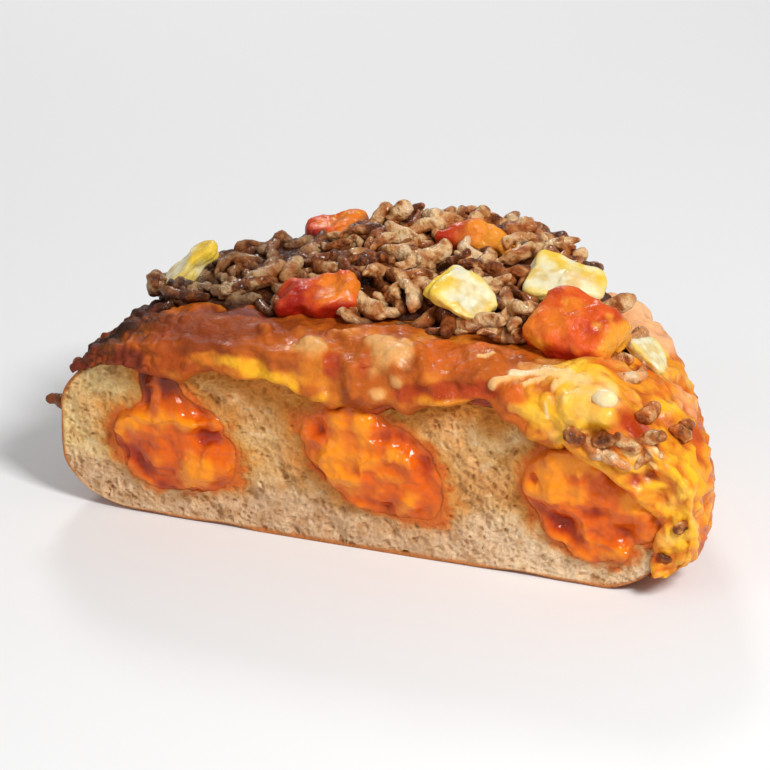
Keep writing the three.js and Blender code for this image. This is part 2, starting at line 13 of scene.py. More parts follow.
import bmesh
import bpy
import numpy as np
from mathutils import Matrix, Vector


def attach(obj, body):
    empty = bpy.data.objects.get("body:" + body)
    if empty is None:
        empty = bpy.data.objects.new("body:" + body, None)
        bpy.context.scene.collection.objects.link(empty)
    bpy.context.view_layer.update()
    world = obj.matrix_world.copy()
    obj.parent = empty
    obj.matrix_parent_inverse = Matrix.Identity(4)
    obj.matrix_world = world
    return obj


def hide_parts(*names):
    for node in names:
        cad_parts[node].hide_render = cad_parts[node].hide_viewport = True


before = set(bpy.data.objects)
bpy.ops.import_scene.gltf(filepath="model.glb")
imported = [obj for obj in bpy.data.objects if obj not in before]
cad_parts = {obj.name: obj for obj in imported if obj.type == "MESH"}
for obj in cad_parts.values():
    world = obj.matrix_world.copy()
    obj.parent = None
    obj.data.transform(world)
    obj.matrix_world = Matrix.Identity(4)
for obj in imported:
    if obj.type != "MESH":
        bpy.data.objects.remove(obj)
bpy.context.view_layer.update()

Array = np.ndarray
Object = bpy.types.Object
Pair = tuple[float, float]
Triple = tuple[float, float, float]
LOG = logging.getLogger("cheeseburger_pizza")
ORIGIN_BEHIND_CUT = 33.0


# --- numbers and noise


def ease(value: Array | float, low: float, high: float) -> Array:
    """Smoothstep: 0 below low, 1 above high, and 3t^2 - 2t^3 between them."""
    t = np.clip((np.asarray(value, float) - low) / (high - low), 0, 1)
    return t * t * (3 - 2 * t)


def mix(a: Array | float, b: Array | float, share: Array | float) -> Array:
    """Goes straight from a to b as the share goes from 0 to 1."""
    return a + (b - a) * share


def bell(value: Array | float, middle: float, reach: float) -> Array:
    """A bell curve: e to the minus squared distance from the middle, in reaches."""
    return np.exp(-(((np.asarray(value, float) - middle) / reach) ** 2))


def lumps(x: Array, y: Array | float, z: Array | float, size: float, phase: float = 0.0) -> Array:
    """Soft lumps between -1 and 1: three products of crossed sine waves of about the given size."""
    k = 2 * np.pi / size
    a = np.sin(k * (x + 0.4 * z) + phase) * np.cos(k * 0.9 * (y - 0.3 * x) + 1.7 * phase)
    b = np.sin(k * 1.7 * (y + 0.5 * z) + 2.3 + phase) * np.cos(k * 1.6 * (x - 0.6 * y) - phase)
    c = np.sin(k * 0.8 * (z + x - y) + 4.1 * phase)
    return 0.5 * a + 0.3 * b + 0.2 * c


def hashed(cell: Array, seed: int) -> Array:
    """Repeatable numbers from 0 to 1, one for each whole-numbered cell of a lattice."""
    c = cell.astype(np.int64)
    n = c[..., 0] * 374761393 + c[..., 1] * 668265263 + c[..., 2] * 1440662683 + seed * 1274126177
    n &= 0xFFFFFFFF
    n = ((n ^ (n >> 13)) * 1274126177) & 0xFFFFFFFF
    n = ((n ^ (n >> 16)) * 668265263) & 0xFFFFFFFF
    return ((n ^ (n >> 15)) & 0xFFFFFF) / 0xFFFFFF


def noise(points: Array, size: float, seed: int = 0) -> Array:
    """Value noise from -1 to 1: lattice numbers blended by quintic shares along each axis."""
    place = points / size
    cell = np.floor(place)
    part = place - cell
    part = part * part * part * (part * (part * 6 - 15) + 10)
    total = np.zeros(points.shape[:-1])
    for corner in range(8):
        step = np.array([corner & 1, corner >> 1 & 1, corner >> 2])
        total += np.prod(np.where(step == 1, part, 1 - part), axis=-1) * hashed(cell + step, seed)
    return 2 * total - 1


def fractal(points: Array, size: float, seed: int = 0, octaves: int = 3) -> Array:
    """Noise summed over octaves, each half the size and half the height of the one before it."""
    return sum(noise(points, size / 2**i, seed + 31 * i) / 2**i for i in range(octaves)) / 1.4


def cells(points: Array, size: float, seed: int = 0) -> tuple[Array, Array, Array]:
    """Cell noise: one scattered spot in each lattice cell.

    Args:
        points: places, in millimetres.
        size: the lattice's spacing.
        seed: which scatter of spots.

    Returns:
        The distances to the nearest and the second nearest spot, and the nearest one's number.
    """
    place = points / size
    base = np.floor(place)
    first = np.full(points.shape[:-1], 9.0)
    second, key = first.copy(), np.zeros(points.shape[:-1])
    for step in np.ndindex(3, 3, 3):
        cell = base + np.array(step) - 1
        spot = cell + np.stack([hashed(cell, seed + i) for i in range(3)], -1)
        away = np.linalg.norm(spot - place, axis=-1)
        nearer = away < first
        second = np.where(nearer, first, np.minimum(second, away))
        key = np.where(nearer, hashed(cell, seed + 7), key)
        first = np.where(nearer, away, first)
    return first * size, second * size, key


def xyz(x: Array | float, y: Array | float, z: Array | float) -> Array:
    """Points from their coordinates, each of which is an array or one number for all of them."""
    return np.stack(np.broadcast_arrays(x, y, z), -1)


def unit(vectors: Array) -> Array:
    """Vectors made one long."""
    return vectors / np.linalg.norm(vectors, axis=-1, keepdims=True)


def way_along(line: Array) -> Array:
    """How far along a line of points each of them is."""
    return np.concatenate([[0], np.cumsum(np.linalg.norm(np.diff(line, axis=0), axis=-1))])


def wrapped(angle: Array) -> Array:
    """Angles brought between minus half a turn and half a turn."""
    return np.arctan2(np.sin(angle), np.cos(angle))


def unit_ball(rows: int, columns: int) -> Array:
    """Points of a sphere of radius 1, on a grid of latitude down its rows and longitude along them."""
    tilt = np.linspace(0, np.pi, rows)[:, None]
    spin = np.linspace(0, 2 * np.pi, columns + 1)[None, :-1]
    return xyz(np.sin(tilt) * np.cos(spin), np.sin(tilt) * np.sin(spin), np.cos(tilt))


def rotation(degrees: Triple) -> Array:
    """The matrix that turns about Z, then Y, then X, by the given degrees about X, Y and Z."""
    (cx, cy, cz), (sx, sy, sz) = np.cos(np.radians(degrees)), np.sin(np.radians(degrees))
    about_x = np.array([[1, 0, 0], [0, cx, -sx], [0, sx, cx]])
    about_y = np.array([[cy, 0, sy], [0, 1, 0], [-sy, 0, cy]])
    about_z = np.array([[cz, -sz, 0], [sz, cz, 0], [0, 0, 1]])
    return about_x @ about_y @ about_z


# --- colours


class Shade(Enum):
    """Colours of the food, and of the light and shade painted on it, as red, green and blue from 0 to
    255 on a screen.
    """

    CRUMB_PALE = (226, 192, 132)
    CRUMB_WARM = (206, 144, 84)
    CRUMB_PINK = (206, 166, 130)
    CRUMB_LIT = (246, 220, 182)
    CRUMB_MOTTLE_AND_PORE_SHADE = (152, 96, 46)
    CRUST = (176, 98, 42)
    CRUST_DARK = (112, 54, 22)
    OIL_STAIN = (202, 124, 44)
    SAUCE_STAIN = (204, 96, 30)
    CHEDDAR_PAINTED_SHADE = (152, 40, 14)
    CHEDDAR = (220, 96, 14)
    CHEDDAR_PAINTED_LIGHT = (246, 146, 24)
    TOMATO_DEEP = (158, 62, 12)
    TOMATO_SAUCE = (186, 70, 22)
    AMBER = (190, 94, 24)
    BROWN = (146, 64, 16)
    TAN = (226, 166, 98)
    YELLOW = (250, 184, 34)
    GOLD = (232, 148, 36)
    ORANGE = (216, 100, 24)
    RED = (174, 56, 16)
    CREAM = (244, 200, 132)
    WHITE = (255, 226, 182)
    PEACH = (244, 184, 136)
    CHAR = (42, 20, 8)
    SCORCHED = (112, 40, 20)
    BEEF_LIGHT = (228, 186, 132)
    BEEF_PALE_AND_HIGHLIGHT = (240, 208, 174)
    BEEF = (162, 90, 38)
    BEEF_DARK_AND_SHADE = (80, 36, 10)
    BEEF_GLAZE = (168, 84, 26)
    TOMATO_RED = (158, 28, 12)
    TOMATO_FLESH = (214, 84, 26)
    TOMATO_ORANGE = (230, 126, 34)
    TOMATO_SEED = (236, 164, 50)
    ONION = (222, 186, 122)
    ONION_PALE = (246, 228, 186)
    ONION_YELLOW = (244, 192, 56)
    ONION_BROWN = (196, 128, 58)

    @property
    def rgb(self) -> Array:
        """The colour as three numbers from 0 to 1, as on a screen."""
        return np.array(self.value, float) / 255


def blend(colours: Array, shade: Shade, share: Array | float) -> Array:
    """Mixes a shade into colours, by a share for each point."""
    return mix(colours, shade.rgb, np.clip(share, 0, 1)[..., None])


def coated(colours: Array, *coats: tuple[Shade, Array]) -> Array:
    """Mixes shades into one colour, or into a colour for each point, one after another.

    Args:
        colours: what lies under the coats.
        coats: each coat's shade and its share at each point.

    Returns:
        A screen colour for each point.
    """
    for shade, share in coats:
        colours = blend(colours, shade, share)
    return colours


@dataclass(frozen=True)
class Patch:
    """A patch of one shade, centred at a place and with a reach along each axis. Most are stains; a few
    are painted highlight and painted shade.

    It can also stand out of its surroundings by a rise, or dip below them.
    """

    at: Triple
    reach: Triple
    shade: Shade
    strength: float = 1.0
    rise: float = 0.0

    def share(self, points: Array, seed: int, full: float, none: float) -> Array:
        """How much of the patch each point has.

        Args:
            points: places, in millimetres.
            seed: which noise makes its edge uneven.
            full: the distance from the centre, in reaches, out to which the share is 1.
            none: the distance from which it is 0.

        Returns:
            A share from 0 to 1 for each point.
        """
        away = np.linalg.norm((points - np.array(self.at)) / np.array(self.reach), axis=-1)
        close = away < none + 0.5
        near = points[close]
        away[close] += 0.32 * noise(near, 4.0, seed) + 0.2 * noise(near, 1.6, seed + 50)
        return 1 - ease(away, full, none)


def painted(points: Array, colours: Array, patches: tuple[Patch, ...], seed: int) -> Array:
    """Lays patches over colours, one after another, with soft edges."""
    for i, patch in enumerate(patches):
        colours = blend(colours, patch.shade, patch.strength * patch.share(points, seed + i, 0.45, 1.1))
    return colours


def raised(points: Array, patches: tuple[Patch, ...], seed: int) -> Array:
    """How far patches stand out at each point, added together, with round shoulders."""
    standing = [(seed + i, patch) for i, patch in enumerate(patches) if patch.rise]
    return sum(patch.rise * patch.share(points, number, 0.25, 1.15) for number, patch in standing)


@dataclass(frozen=True)
class Shred:
    """A shred of cheese that hasn't quite melted: a ridge along a line between two places. One placed
    shred is a painted highlight.
    """

    start: Triple
    end: Triple
    shade: Shade
    reach: float
    rise: float

    def share(self, points: Array) -> Array:
        """1 on the line, falling to 0 as a parabola where the distance from it is the reach."""
        start, along = np.array(self.start), np.array(self.end) - np.array(self.start)
        part = np.clip((points - start) @ along / (along @ along), 0, 1)
        away = np.linalg.norm(points - start - part[:, None] * along, axis=-1)
        return np.maximum(0, 1 - (away / self.reach) ** 2)


def from_rows(kind: type, *rows: tuple) -> tuple:
    """Patches or shreds from a table.

    Args:
        kind: Patch or Shred.
        rows: a shade, then the six numbers of the first two fields, then the rest.

    Returns:
        One patch or shred for each row.
    """
    return tuple(kind(row[1:4], row[4:7], row[0], *row[7:]) for row in rows)


# --- finishes


def new_group(name: str, inputs: dict[str, str], outputs: dict[str, str]) -> bpy.types.NodeTree:
    """Makes an empty shader node group.

    Args:
        name: the group's name.
        inputs: each input socket's name and type.
        outputs: each output socket's name and type.

    Returns:
        The group, with its two end nodes named In and Out.
    """
    group = bpy.data.node_groups.new(name, "ShaderNodeTree")
    for sockets, way in ((inputs, "INPUT"), (outputs, "OUTPUT")):
        for socket, kind in sockets.items():
            group.interface.new_socket(socket, in_out=way, socket_type=kind)
    group.nodes.new("NodeGroupInput").name = "In"
    group.nodes.new("NodeGroupOutput").name = "Out"
    return group


class Wiring:
    """Short ways to add and join the nodes of one tree."""

    def __init__(self, tree: bpy.types.NodeTree) -> None:
        """Keeps the tree that nodes are added to."""
        self.tree = tree

    def node(self, kind: str, links: dict, **settings: object) -> bpy.types.Node:
        """Adds a node, sets its properties, and fills its sockets with links or plain values."""
        made = self.tree.nodes.new(kind)
        for name, value in settings.items():
            setattr(made, name, value)
        self.fill(made, links)
        return made

    def fill(self, node: bpy.types.Node, links: dict) -> None:
        """Links other nodes' outputs to a node's sockets, and puts plain values on them."""
        for socket, value in links.items():
            if isinstance(value, bpy.types.NodeSocket):
                self.tree.links.new(value, node.inputs[socket])
            else:
                node.inputs[socket].default_value = value

    def group(self, name: str, links: dict) -> bpy.types.NodeOutputs:
        """Adds a node of one of the groups, fills its sockets, and returns its outputs."""
        return self.node("ShaderNodeGroup", links, node_tree=bpy.data.node_groups[name]).outputs

    def maths(self, kind: str, a: object, b: object) -> bpy.types.NodeSocket:
        """Adds a Math node on two sockets or numbers, and returns its output."""
        return self.node("ShaderNodeMath", {0: a, 1: b}, operation=kind).outputs[0]


NUMBER, COLOUR = "NodeSocketFloat", "NodeSocketColor"


def uneven_colour_group() -> bpy.types.NodeTree:
    """A group that lightens and darkens a colour in soft blotches and in fine specks."""
    group = new_group(
        "uneven_colour",
        {"Colour": COLOUR, "Size": NUMBER, "Amount": NUMBER, "Specks": NUMBER},
        {"Colour": COLOUR, "Mask": NUMBER},
    )
    wire, given = Wiring(group), group.nodes["In"].outputs
    place = wire.node("ShaderNodeTexCoord", {}).outputs["Object"]
    scale = wire.maths("DIVIDE", 1000.0, given["Size"])
    blotch = wire.node("ShaderNodeTexNoise", {"Vector": place, "Scale": scale, "Detail": 4.0})
    fine = wire.maths("MULTIPLY", scale, 5.0)
    speck = wire.node("ShaderNodeTexNoise", {"Vector": place, "Scale": fine, "Detail": 2.0})
    soft = wire.maths("MULTIPLY", wire.maths("SUBTRACT", blotch.outputs[0], 0.5), given["Amount"])
    small = wire.maths("MULTIPLY", wire.maths("SUBTRACT", speck.outputs[0], 0.5), given["Specks"])
    value = wire.maths("ADD", wire.maths("ADD", soft, small), 1.0)
    shaded = wire.node("ShaderNodeHueSaturation", {"Value": value, "Color": given["Colour"]})
    wire.fill(group.nodes["Out"], {"Colour": shaded.outputs[0], "Mask": blotch.outputs[0]})
    return group


def fine_relief_group() -> bpy.types.NodeTree:
    """A group that puts out a height: fine noise, with small round pits where they are asked for."""
    group = new_group("fine_relief", {"Size": NUMBER, "Pits": NUMBER}, {"Height": NUMBER})
    wire, given = Wiring(group), group.nodes["In"].outputs
    place = wire.node("ShaderNodeTexCoord", {}).outputs["Object"]
    scale = wire.maths("DIVIDE", 1000.0, given["Size"])
    grain = wire.node("ShaderNodeTexNoise", {"Vector": place, "Scale": scale, "Detail": 5.0})
    pit = wire.node("ShaderNodeTexVoronoi", {"Vector": place, "Scale": scale})
    hole = wire.maths("MULTIPLY", wire.maths("MINIMUM", pit.outputs["Distance"], 0.5), given["Pits"])
    height = wire.maths("ADD", grain.outputs[0], hole)
    wire.fill(group.nodes["Out"], {"Height": height})
    return group


def wetness_group() -> bpy.types.NodeTree:
    """A group that turns a wet mask and noise into a roughness and a coat's share."""
    group = new_group(
        "wetness",
        {"Wet": NUMBER, "Uneven": NUMBER, "Dry": NUMBER, "Glossy": NUMBER, "Coat": NUMBER},
        {"Roughness": NUMBER, "Coat": NUMBER},
    )
    wire, given = Wiring(group), group.nodes["In"].outputs
    swing = wire.maths("MULTIPLY", wire.maths("SUBTRACT", given["Uneven"], 0.5), 0.35)
    wet = wire.node("ShaderNodeClamp", {"Value": wire.maths("SUBTRACT", given["Wet"], swing)})
    span = wire.maths("SUBTRACT", given["Glossy"], given["Dry"])
    rough = wire.maths("ADD", wire.maths("MULTIPLY", span, wet.outputs[0]), given["Dry"])
    coat = wire.maths("MULTIPLY", wet.outputs[0], given["Coat"])
    wire.fill(group.nodes["Out"], {"Roughness": rough, "Coat": coat})
    return group


@dataclass(frozen=True)
class Finish:
    """How one kind of food takes the light. Sizes are in millimetres.

    Args:
        name: the material's name.
        dry: roughness where the surface is dry.
        glossy: roughness where it is wet.
        coat: how much of a clear wet film lies on the wet places.
        blotches: size and strength of the soft changes of colour.
        specks: strength of the fine specks.
        relief: size and height of the finest bumps.
        pits: how much of the relief is small round pits.
        glow: how much light passes into the food.
        depth: how far red, green and blue light travels inside it.
    """

    name: str
    dry: float
    glossy: float
    coat: float
    blotches: Pair = (3.0, 0.3)
    specks: float = 0.2
    relief: Pair = (0.8, 0.1)
    pits: float = 0.0
    glow: float = 0.0
    depth: Triple = (3.0, 1.5, 0.7)

    def material(self) -> bpy.types.Material:
        """Makes the material: the mesh's own tints, made uneven, under a film of fat or juice."""
        made = bpy.data.materials.new(self.name)
        made.use_nodes = True
        wire, shader = Wiring(made.node_tree), made.node_tree.nodes["Principled BSDF"]
        tint = wire.node("ShaderNodeAttribute", {}, attribute_name="Tint").outputs
        uneven = {"Size": self.blotches[0], "Amount": self.blotches[1], "Specks": self.specks}
        colour = wire.group("uneven_colour", {"Colour": tint["Color"], **uneven})
        film = {"Dry": self.dry, "Glossy": self.glossy, "Coat": self.coat}
        wet = wire.group("wetness", {"Wet": tint["Alpha"], "Uneven": colour["Mask"], **film})
        height = wire.group("fine_relief", {"Size": self.relief[0], "Pits": self.pits})["Height"]
        bump = wire.node("ShaderNodeBump", {"Height": height, "Distance": self.relief[1] / 1000})
        sockets = {
            "Base Color": colour["Colour"],
            "Roughness": wet["Roughness"],
            "Coat Weight": wet["Coat"],
            "Normal": bump.outputs["Normal"],
            "Coat Roughness": 0.1,
            "Coat IOR": 1.4,
            "Specular IOR Level": 0.2,
            "Subsurface Weight": self.glow,
            "Subsurface Radius": self.depth,
            "Subsurface Scale": 0.001,
        }
        wire.fill(shader, sockets)
        return made


CRUMB_FINISH = Finish(
    "crumb_finish", 0.9, 0.45, 0.1, (2.6, 0.3), 0.5, (0.6, 0.25), 0.5, 0.25, (1.6, 1.0, 0.6)
)
SAUCE_FINISH = Finish("tomato_sauce_finish", 0.4, 0.2, 0.5, (2.0, 0.4), 0.3, (0.6, 0.12), 0.0, 0.1)
CHEDDAR_FINISH = Finish(
    "cheddar_sauce_finish", 0.4, 0.15, 0.35, (2.6, 0.25), 0.1, (1.2, 0.12), 0.0, 0.12, (2.0, 0.6, 0.2)
)
CHEESE_FINISH = Finish(
    "melted_cheese_finish", 0.6, 0.26, 0.24, (2.2, 0.3), 0.15, (0.9, 0.3), 0.0, 0.2, (2.4, 1.0, 0.4)
)
PEARL_FINISH = Finish(
    "cheese_pearl_finish", 0.4, 0.2, 0.4, (2.0, 0.12), 0.06, (1.0, 0.06), 0.0, 0.5, (3.0, 2.0, 1.2)
)
BEEF_FINISH = Finish(
    "beef_finish", 0.55, 0.2, 0.45, (1.0, 0.8), 0.8, (1.0, 1.1), 0.2, 0.1, (1.5, 0.7, 0.4)
)
TOMATO_FINISH = Finish(
    "tomato_finish", 0.48, 0.26, 0.2, (2.0, 0.4), 0.25, (0.9, 0.3), 0.0, 0.3, (3.0, 0.8, 0.3)
)
ONION_FINISH = Finish(
    "onion_finish", 0.45, 0.24, 0.25, (1.6, 0.3), 0.2, (0.9, 0.15), 0.0, 0.5, (4.0, 3.0, 1.6)
)


# --- meshes


class Surface:
    """A closed mesh made of grids of points, in millimetres, whose shared edges are welded."""

    def __init__(self) -> None:
        """Starts with no grids."""
        self._grids: list[Array] = []
        self._rest: list[Array] = []
        self._quads: list[Array] = []
        self._count = 0
        self.points = np.empty((0, 3))
        self.freedom = np.empty(0)
        self.triangles = np.empty((0, 3), int)

    def add(
        self,
        points: Array,
        freedom: Array | float = 1.0,
        wrapped: bool = False,
        ways: Array | None = None,
        marks: Array | float = 0.0,
    ) -> None:
        """Adds a grid, or many at once.

        Args:
            points: rows by columns by 3, or a batch of such grids.
            freedom: how far each point may be pushed later, from 0 to 1.
            wrapped: whether the last column joins the first.
            ways: the way each point is pushed, where that isn't along its normal.
            marks: a number that tells grids apart when they are coloured.
        """
        batch = points.reshape((-1, *points.shape[-3:]))
        index = np.arange(batch[..., 0].size).reshape(batch.shape[:-1]) + self._count
        if wrapped:
            index = np.concatenate([index, index[:, :, :1]], axis=2)
        corners = (index[:, :-1, :-1], index[:, 1:, :-1], index[:, 1:, 1:], index[:, :-1, 1:])
        self._quads.append(np.stack(corners, -1).reshape(-1, 4))
        self._grids.append(batch.reshape(-1, 3))
        freedom, marks = (np.broadcast_to(a, points.shape[:-1])[..., None] for a in (freedom, marks))
        ways = np.broadcast_to(np.nan if ways is None else ways, points.shape)
        self._rest.append(np.concatenate([freedom, marks, ways], -1).reshape(-1, 5))
        self._count += batch[..., 0].size

    def weld(self, name: str) -> "Surface":
        """Joins points less than a tenth of a micrometre apart and turns every face outwards."""
        points = np.concatenate(self._grids)
        keys = np.round(points * 1e4).astype(np.int64)
        _, first, place = np.unique(keys, axis=0, return_index=True, return_inverse=True)
        place = place.reshape(-1)
        quads = place[np.concatenate(self._quads)]
        faces = np.concatenate([quads[:, [0, 1, 2]], quads[:, [0, 2, 3]]])
        a, b, c = faces.T
        faces = faces[(a != b) & (b != c) & (a != c)]
        rest = np.concatenate(self._rest)[first]
        self.points, self.freedom, self.marks = points[first], rest[:, 0], rest[:, 1]
        self.ways = None if np.isnan(rest[0, 2]) else rest[:, 2:]
        self.mesh = bpy.data.meshes.new(name)
        self.mesh.vertices.add(len(self.points))
        self.mesh.loops.add(faces.size)
        self.mesh.polygons.add(len(faces))
        self.mesh.vertices.foreach_set("co", self.points.ravel())
        self.mesh.loops.foreach_set("vertex_index", faces.ravel())
        self.mesh.polygons.foreach_set("loop_start", np.arange(0, faces.size, 3))
        self.mesh.update(calc_edges=True)
        work = bmesh.new()
        work.from_mesh(self.mesh)
        bmesh.ops.recalc_face_normals(work, faces=work.faces)
        open_edges = sum(not edge.is_manifold for edge in work.edges)
        work.to_mesh(self.mesh)
        work.free()
        self.triangles = np.empty(faces.size, np.int32)
        self.mesh.loops.foreach_get("vertex_index", self.triangles)
        self.triangles = self.triangles.reshape(-1, 3)
        LOG.info("%s: %d triangles, %d open edges", name, len(faces), open_edges)
        return self

    def normals(self) -> Array:
        """Each point's normal: the sum of its triangles' cross products, made one long."""
        corners = self.points[self.triangles]
        cross = np.cross(corners[:, 1] - corners[:, 0], corners[:, 2] - corners[:, 0])
        flat = self.triangles.ravel()
        total = [np.bincount(flat, np.repeat(cross[:, i], 3), len(self.points)) for i in range(3)]
        total = np.stack(total, -1)
        return total / np.maximum(np.linalg.norm(total, axis=-1, keepdims=True), 1e-12)

    def push(self, amount: Array) -> None:
        """Moves each point along its way or its normal, as far as the point's freedom allows."""
        ways = self.normals() if self.ways is None else self.ways
        self.points = self.points + ways * (amount * self.freedom)[:, None]


def finished_piece(
    surface: Surface, colours: Array, wet: Array | float, finish: Finish, nodes: tuple[str, ...]
) -> Object:
    """Puts a surface into the scene as a piece that rides on the root body.

    Args:
        surface: the welded mesh, in the loaf's frame.
        colours: a screen colour for each point.
        wet: how wet each point is, from 0 to 1.
        finish: its material.
        nodes: the CAD nodes that it stands for.

    Returns:
        The piece.
    """
    mesh = surface.mesh
    place = (surface.points - np.array([0, ORIGIN_BEHIND_CUT, 0])) / 1000
    mesh.vertices.foreach_set("co", place.ravel())
    mesh.polygons.foreach_set("use_smooth", np.ones(len(mesh.polygons), bool))
    screen = np.clip(colours, 0, 1)
    linear = np.where(screen > 0.04045, ((screen + 0.055) / 1.055) ** 2.4, screen / 12.92)
    alpha = np.clip(np.broadcast_to(wet, len(linear)), 0, 1)[:, None]
    tint = mesh.attributes.new("Tint", "FLOAT_COLOR", "POINT")
    tint.data.foreach_set("color", np.hstack([linear, alpha]).ravel())
    mesh.update()
    material = bpy.data.materials.get(finish.name) or finish.material()
    mesh.materials.append(material)
    piece = bpy.data.objects.new(mesh.name, mesh)
    bpy.context.scene.collection.objects.link(piece)
    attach(piece, "root")
    if nodes:
        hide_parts(*nodes)
    return piece


# --- the loaf's form


@dataclass(frozen=True)
class LoafForm:
    """The loaf's own surface and the layers that follow it. All sizes are in millimetres.

    A place on the surface is an angle round the Z axis and a station, which runs from 0 at the
    middle of the underside through 1 to 2 round the low corner, to 3 up the side, to 4 round the
    top corner and to 5 at the middle of the top.
    """

    radius: float = 65.0
    height: float = 35.0
    low: Pair = (15.0, 13.0)
    top: Pair = (8.0, 6.0)
    end_top: Pair = (20.0, 14.0)
    layer_gap: float = 0.45
    tomato: float = 1.6
    cheese: float = 4.6
    tail: float = 1.5
    thin_end: Triple = (0.4, -62.0, -26.0)
    front_lumps: tuple[tuple[float, float, float, float], ...] = (
        (-38, 5, 8, 1.2), (-19, 4, 9, 1.0), (6, 4, 8, 2.2), (28, 5, 8, 1.8), (45, 6, 9, 1.6)
    )

    def rim_wave(self, angle: Array) -> Array:
        """How far the hand-shaped rim stands outside a true circle: three sine waves round it."""
        slow = 0.7 * np.sin(3 * angle + 0.6) + 0.5 * np.sin(5 * angle + 2.1)
        return slow + 0.3 * np.sin(9 * angle + 0.3)

    def top_corner(self, angle: Array) -> tuple[Array, Array]:
        """The top corner's reach and drop: tight round the back, much rounder at the cut's ends."""
        at_end = ease(np.abs(np.cos(angle)), 0.45, 1)
        return mix(self.top[0], self.end_top[0], at_end), mix(self.top[1], self.end_top[1], at_end)

    def flat_rim(self, angle: Array) -> Array:
        """The radius at which the flat of the top ends and its corner begins."""
        return self.radius + self.rim_wave(angle) - self.top_corner(angle)[0]

    def skin(self, angle: Array, station: Array, offset: Array | float) -> Array:
        """A point of the surface, pushed outwards by an offset.

        The profile is a flat underside, a quarter ellipse, a straight side, a second quarter
        ellipse and a crowned top, and it is turned about the Z axis with a wavy rim.
        """
        angle, station, offset = np.broadcast_arrays(angle, station, offset)
        rim = self.radius + self.rim_wave(angle) + offset
        low_reach, low_rise = self.low[0] + offset, self.low[1] + offset
        reach, drop = self.top_corner(angle)
        top_reach, top_drop = reach + offset, drop + offset
        turn = np.mod(station, 1) * np.pi / 2
        shoulder = self.height - drop
        ranges = [station < 1, station < 2, station < 3, station < 4]
        under, over = rim - low_reach, rim - top_reach
        outwards = [station * under, under + low_reach * np.sin(turn)]
        outwards += [rim, rim - top_reach * (1 - np.cos(turn))]
        radius = np.select(ranges, outwards, (5 - station) * over)
        upwards = [-offset, -offset + low_rise * (1 - np.cos(turn))]
        upwards += [mix(self.low[1], shoulder, station - 2), shoulder + top_drop * np.sin(turn)]
        z = np.select(ranges, upwards, self.height + offset + 1.2 * ease(station - 4, 0, 1))
        return xyz(radius * np.cos(angle), radius * np.sin(angle), z)

    def skin_height(self, x: Array, y: Array, offset: Array) -> Array:
        """The height of the upper surface above a place: crowned inside the rim, then an ellipse."""
        angle = np.arctan2(y, x)
        reach, drop = self.top_corner(angle)
        radius, flat = np.hypot(x, y), self.flat_rim(angle)
        crowned = self.height + offset + 1.2 * ease(1 - radius / flat, 0, 1)
        share = np.sqrt(np.maximum(0, 1 - ((radius - flat) / (reach + offset)) ** 2))
        return np.where(radius <= flat, crowned, self.height - drop + (drop + offset) * share)

    def thinning(self, x: Array) -> Array:
        """The layers' share of full thickness: less towards the left-hand end."""
        share, start, end = self.thin_end
        return mix(share, 1, ease(x, start, end))

    def left_end(self, angle: Array) -> Array:
        """1 at the left-hand end of the cut and over the rim next to it, 0 elsewhere."""
        return ease(np.abs(wrapped(angle)), *np.radians([128, 160]))

    def tomato_over(self, x: Array) -> Array:
        """The offset of the tomato sauce's upper side."""
        return self.layer_gap + self.tomato * self.thinning(x)

    def tomato_edge(self, angle: Array) -> Array:
        """The station at which the tomato sauce stops: a wavy line round the top corner."""
        waves = 0.12 * np.sin(6 * angle + 1) + 0.08 * np.sin(11 * angle)
        return mix(3.5, 3.75, self.left_end(angle)) + waves

    def cheese_under(self, x: Array) -> Array:
        """The offset of the cheese's underside."""
        return self.tomato_over(x) + self.layer_gap

    def cheese_edge(self, angle: Array) -> Array:
        """The station at which the cheese stops: low at the right-hand end, else at the rim."""
        away = np.abs(wrapped(angle - np.radians(6)))
        run = 1 - ease(away, *np.radians([34, 60]))
        drips = 0.22 * np.sin(7 * angle + 0.8) + 0.16 * np.sin(12 * angle + 2.5)
        rim = mix(3.15 + drips, 3.45 + 0.4 * drips, self.left_end(angle))
        return mix(rim, 1.62 + 0.3 * drips, run)

    def cheese_body(self, angle: Array, station: Array) -> Array:
        """The cheese's full thickness.

        It swells in soft lumps and thins towards the side, the cut and the left-hand end. Five
        bells swell it behind the cut.
        """
        x, y, z = np.moveaxis(self.skin(angle, station, self.layer_gap), -1, 0)
        at_cut = 0.62 + 0.38 * ease(y, -2, 9)
        on_top = mix(0.82, 1, ease(station, 2.6, 4))
        runny = 1 - ease(station, 3.4, 4.2)
        wave = mix(lumps(x, y, z, 19, 0.2), lumps(x, y, z, 13, 0.2), runny)
        swell = 1 + mix(0.14, 0.38, runny) * wave
        body = self.cheese * on_top * swell * at_cut * self.thinning(x)
        for at_x, at_y, reach, height in self.front_lumps:
            body = body + height * np.exp(-((x - at_x) ** 2 + (y - at_y) ** 2) / reach**2)
        return body

    def cheese_over(self, angle: Array, station: Array) -> Array:
        """The offset of the cheese's outer side, which tapers to a tail at its edge."""
        x = self.skin(angle, station, self.layer_gap)[..., 0]
        near = ease(station - self.cheese_edge(angle), 0, 0.7)
        tail = self.tail * self.thinning(x)
        return self.cheese_under(x) + mix(tail, self.cheese_body(angle, station), near)

    def cheese_top(self, x: Array, y: Array) -> Array:
        """The height of the cheese's upper side above a place."""
        inward = 5 - np.minimum(1, np.hypot(x, y) / self.radius)
        return self.skin_height(x, y, self.cheese_over(np.arctan2(y, x), inward))


LOAF = LoafForm()


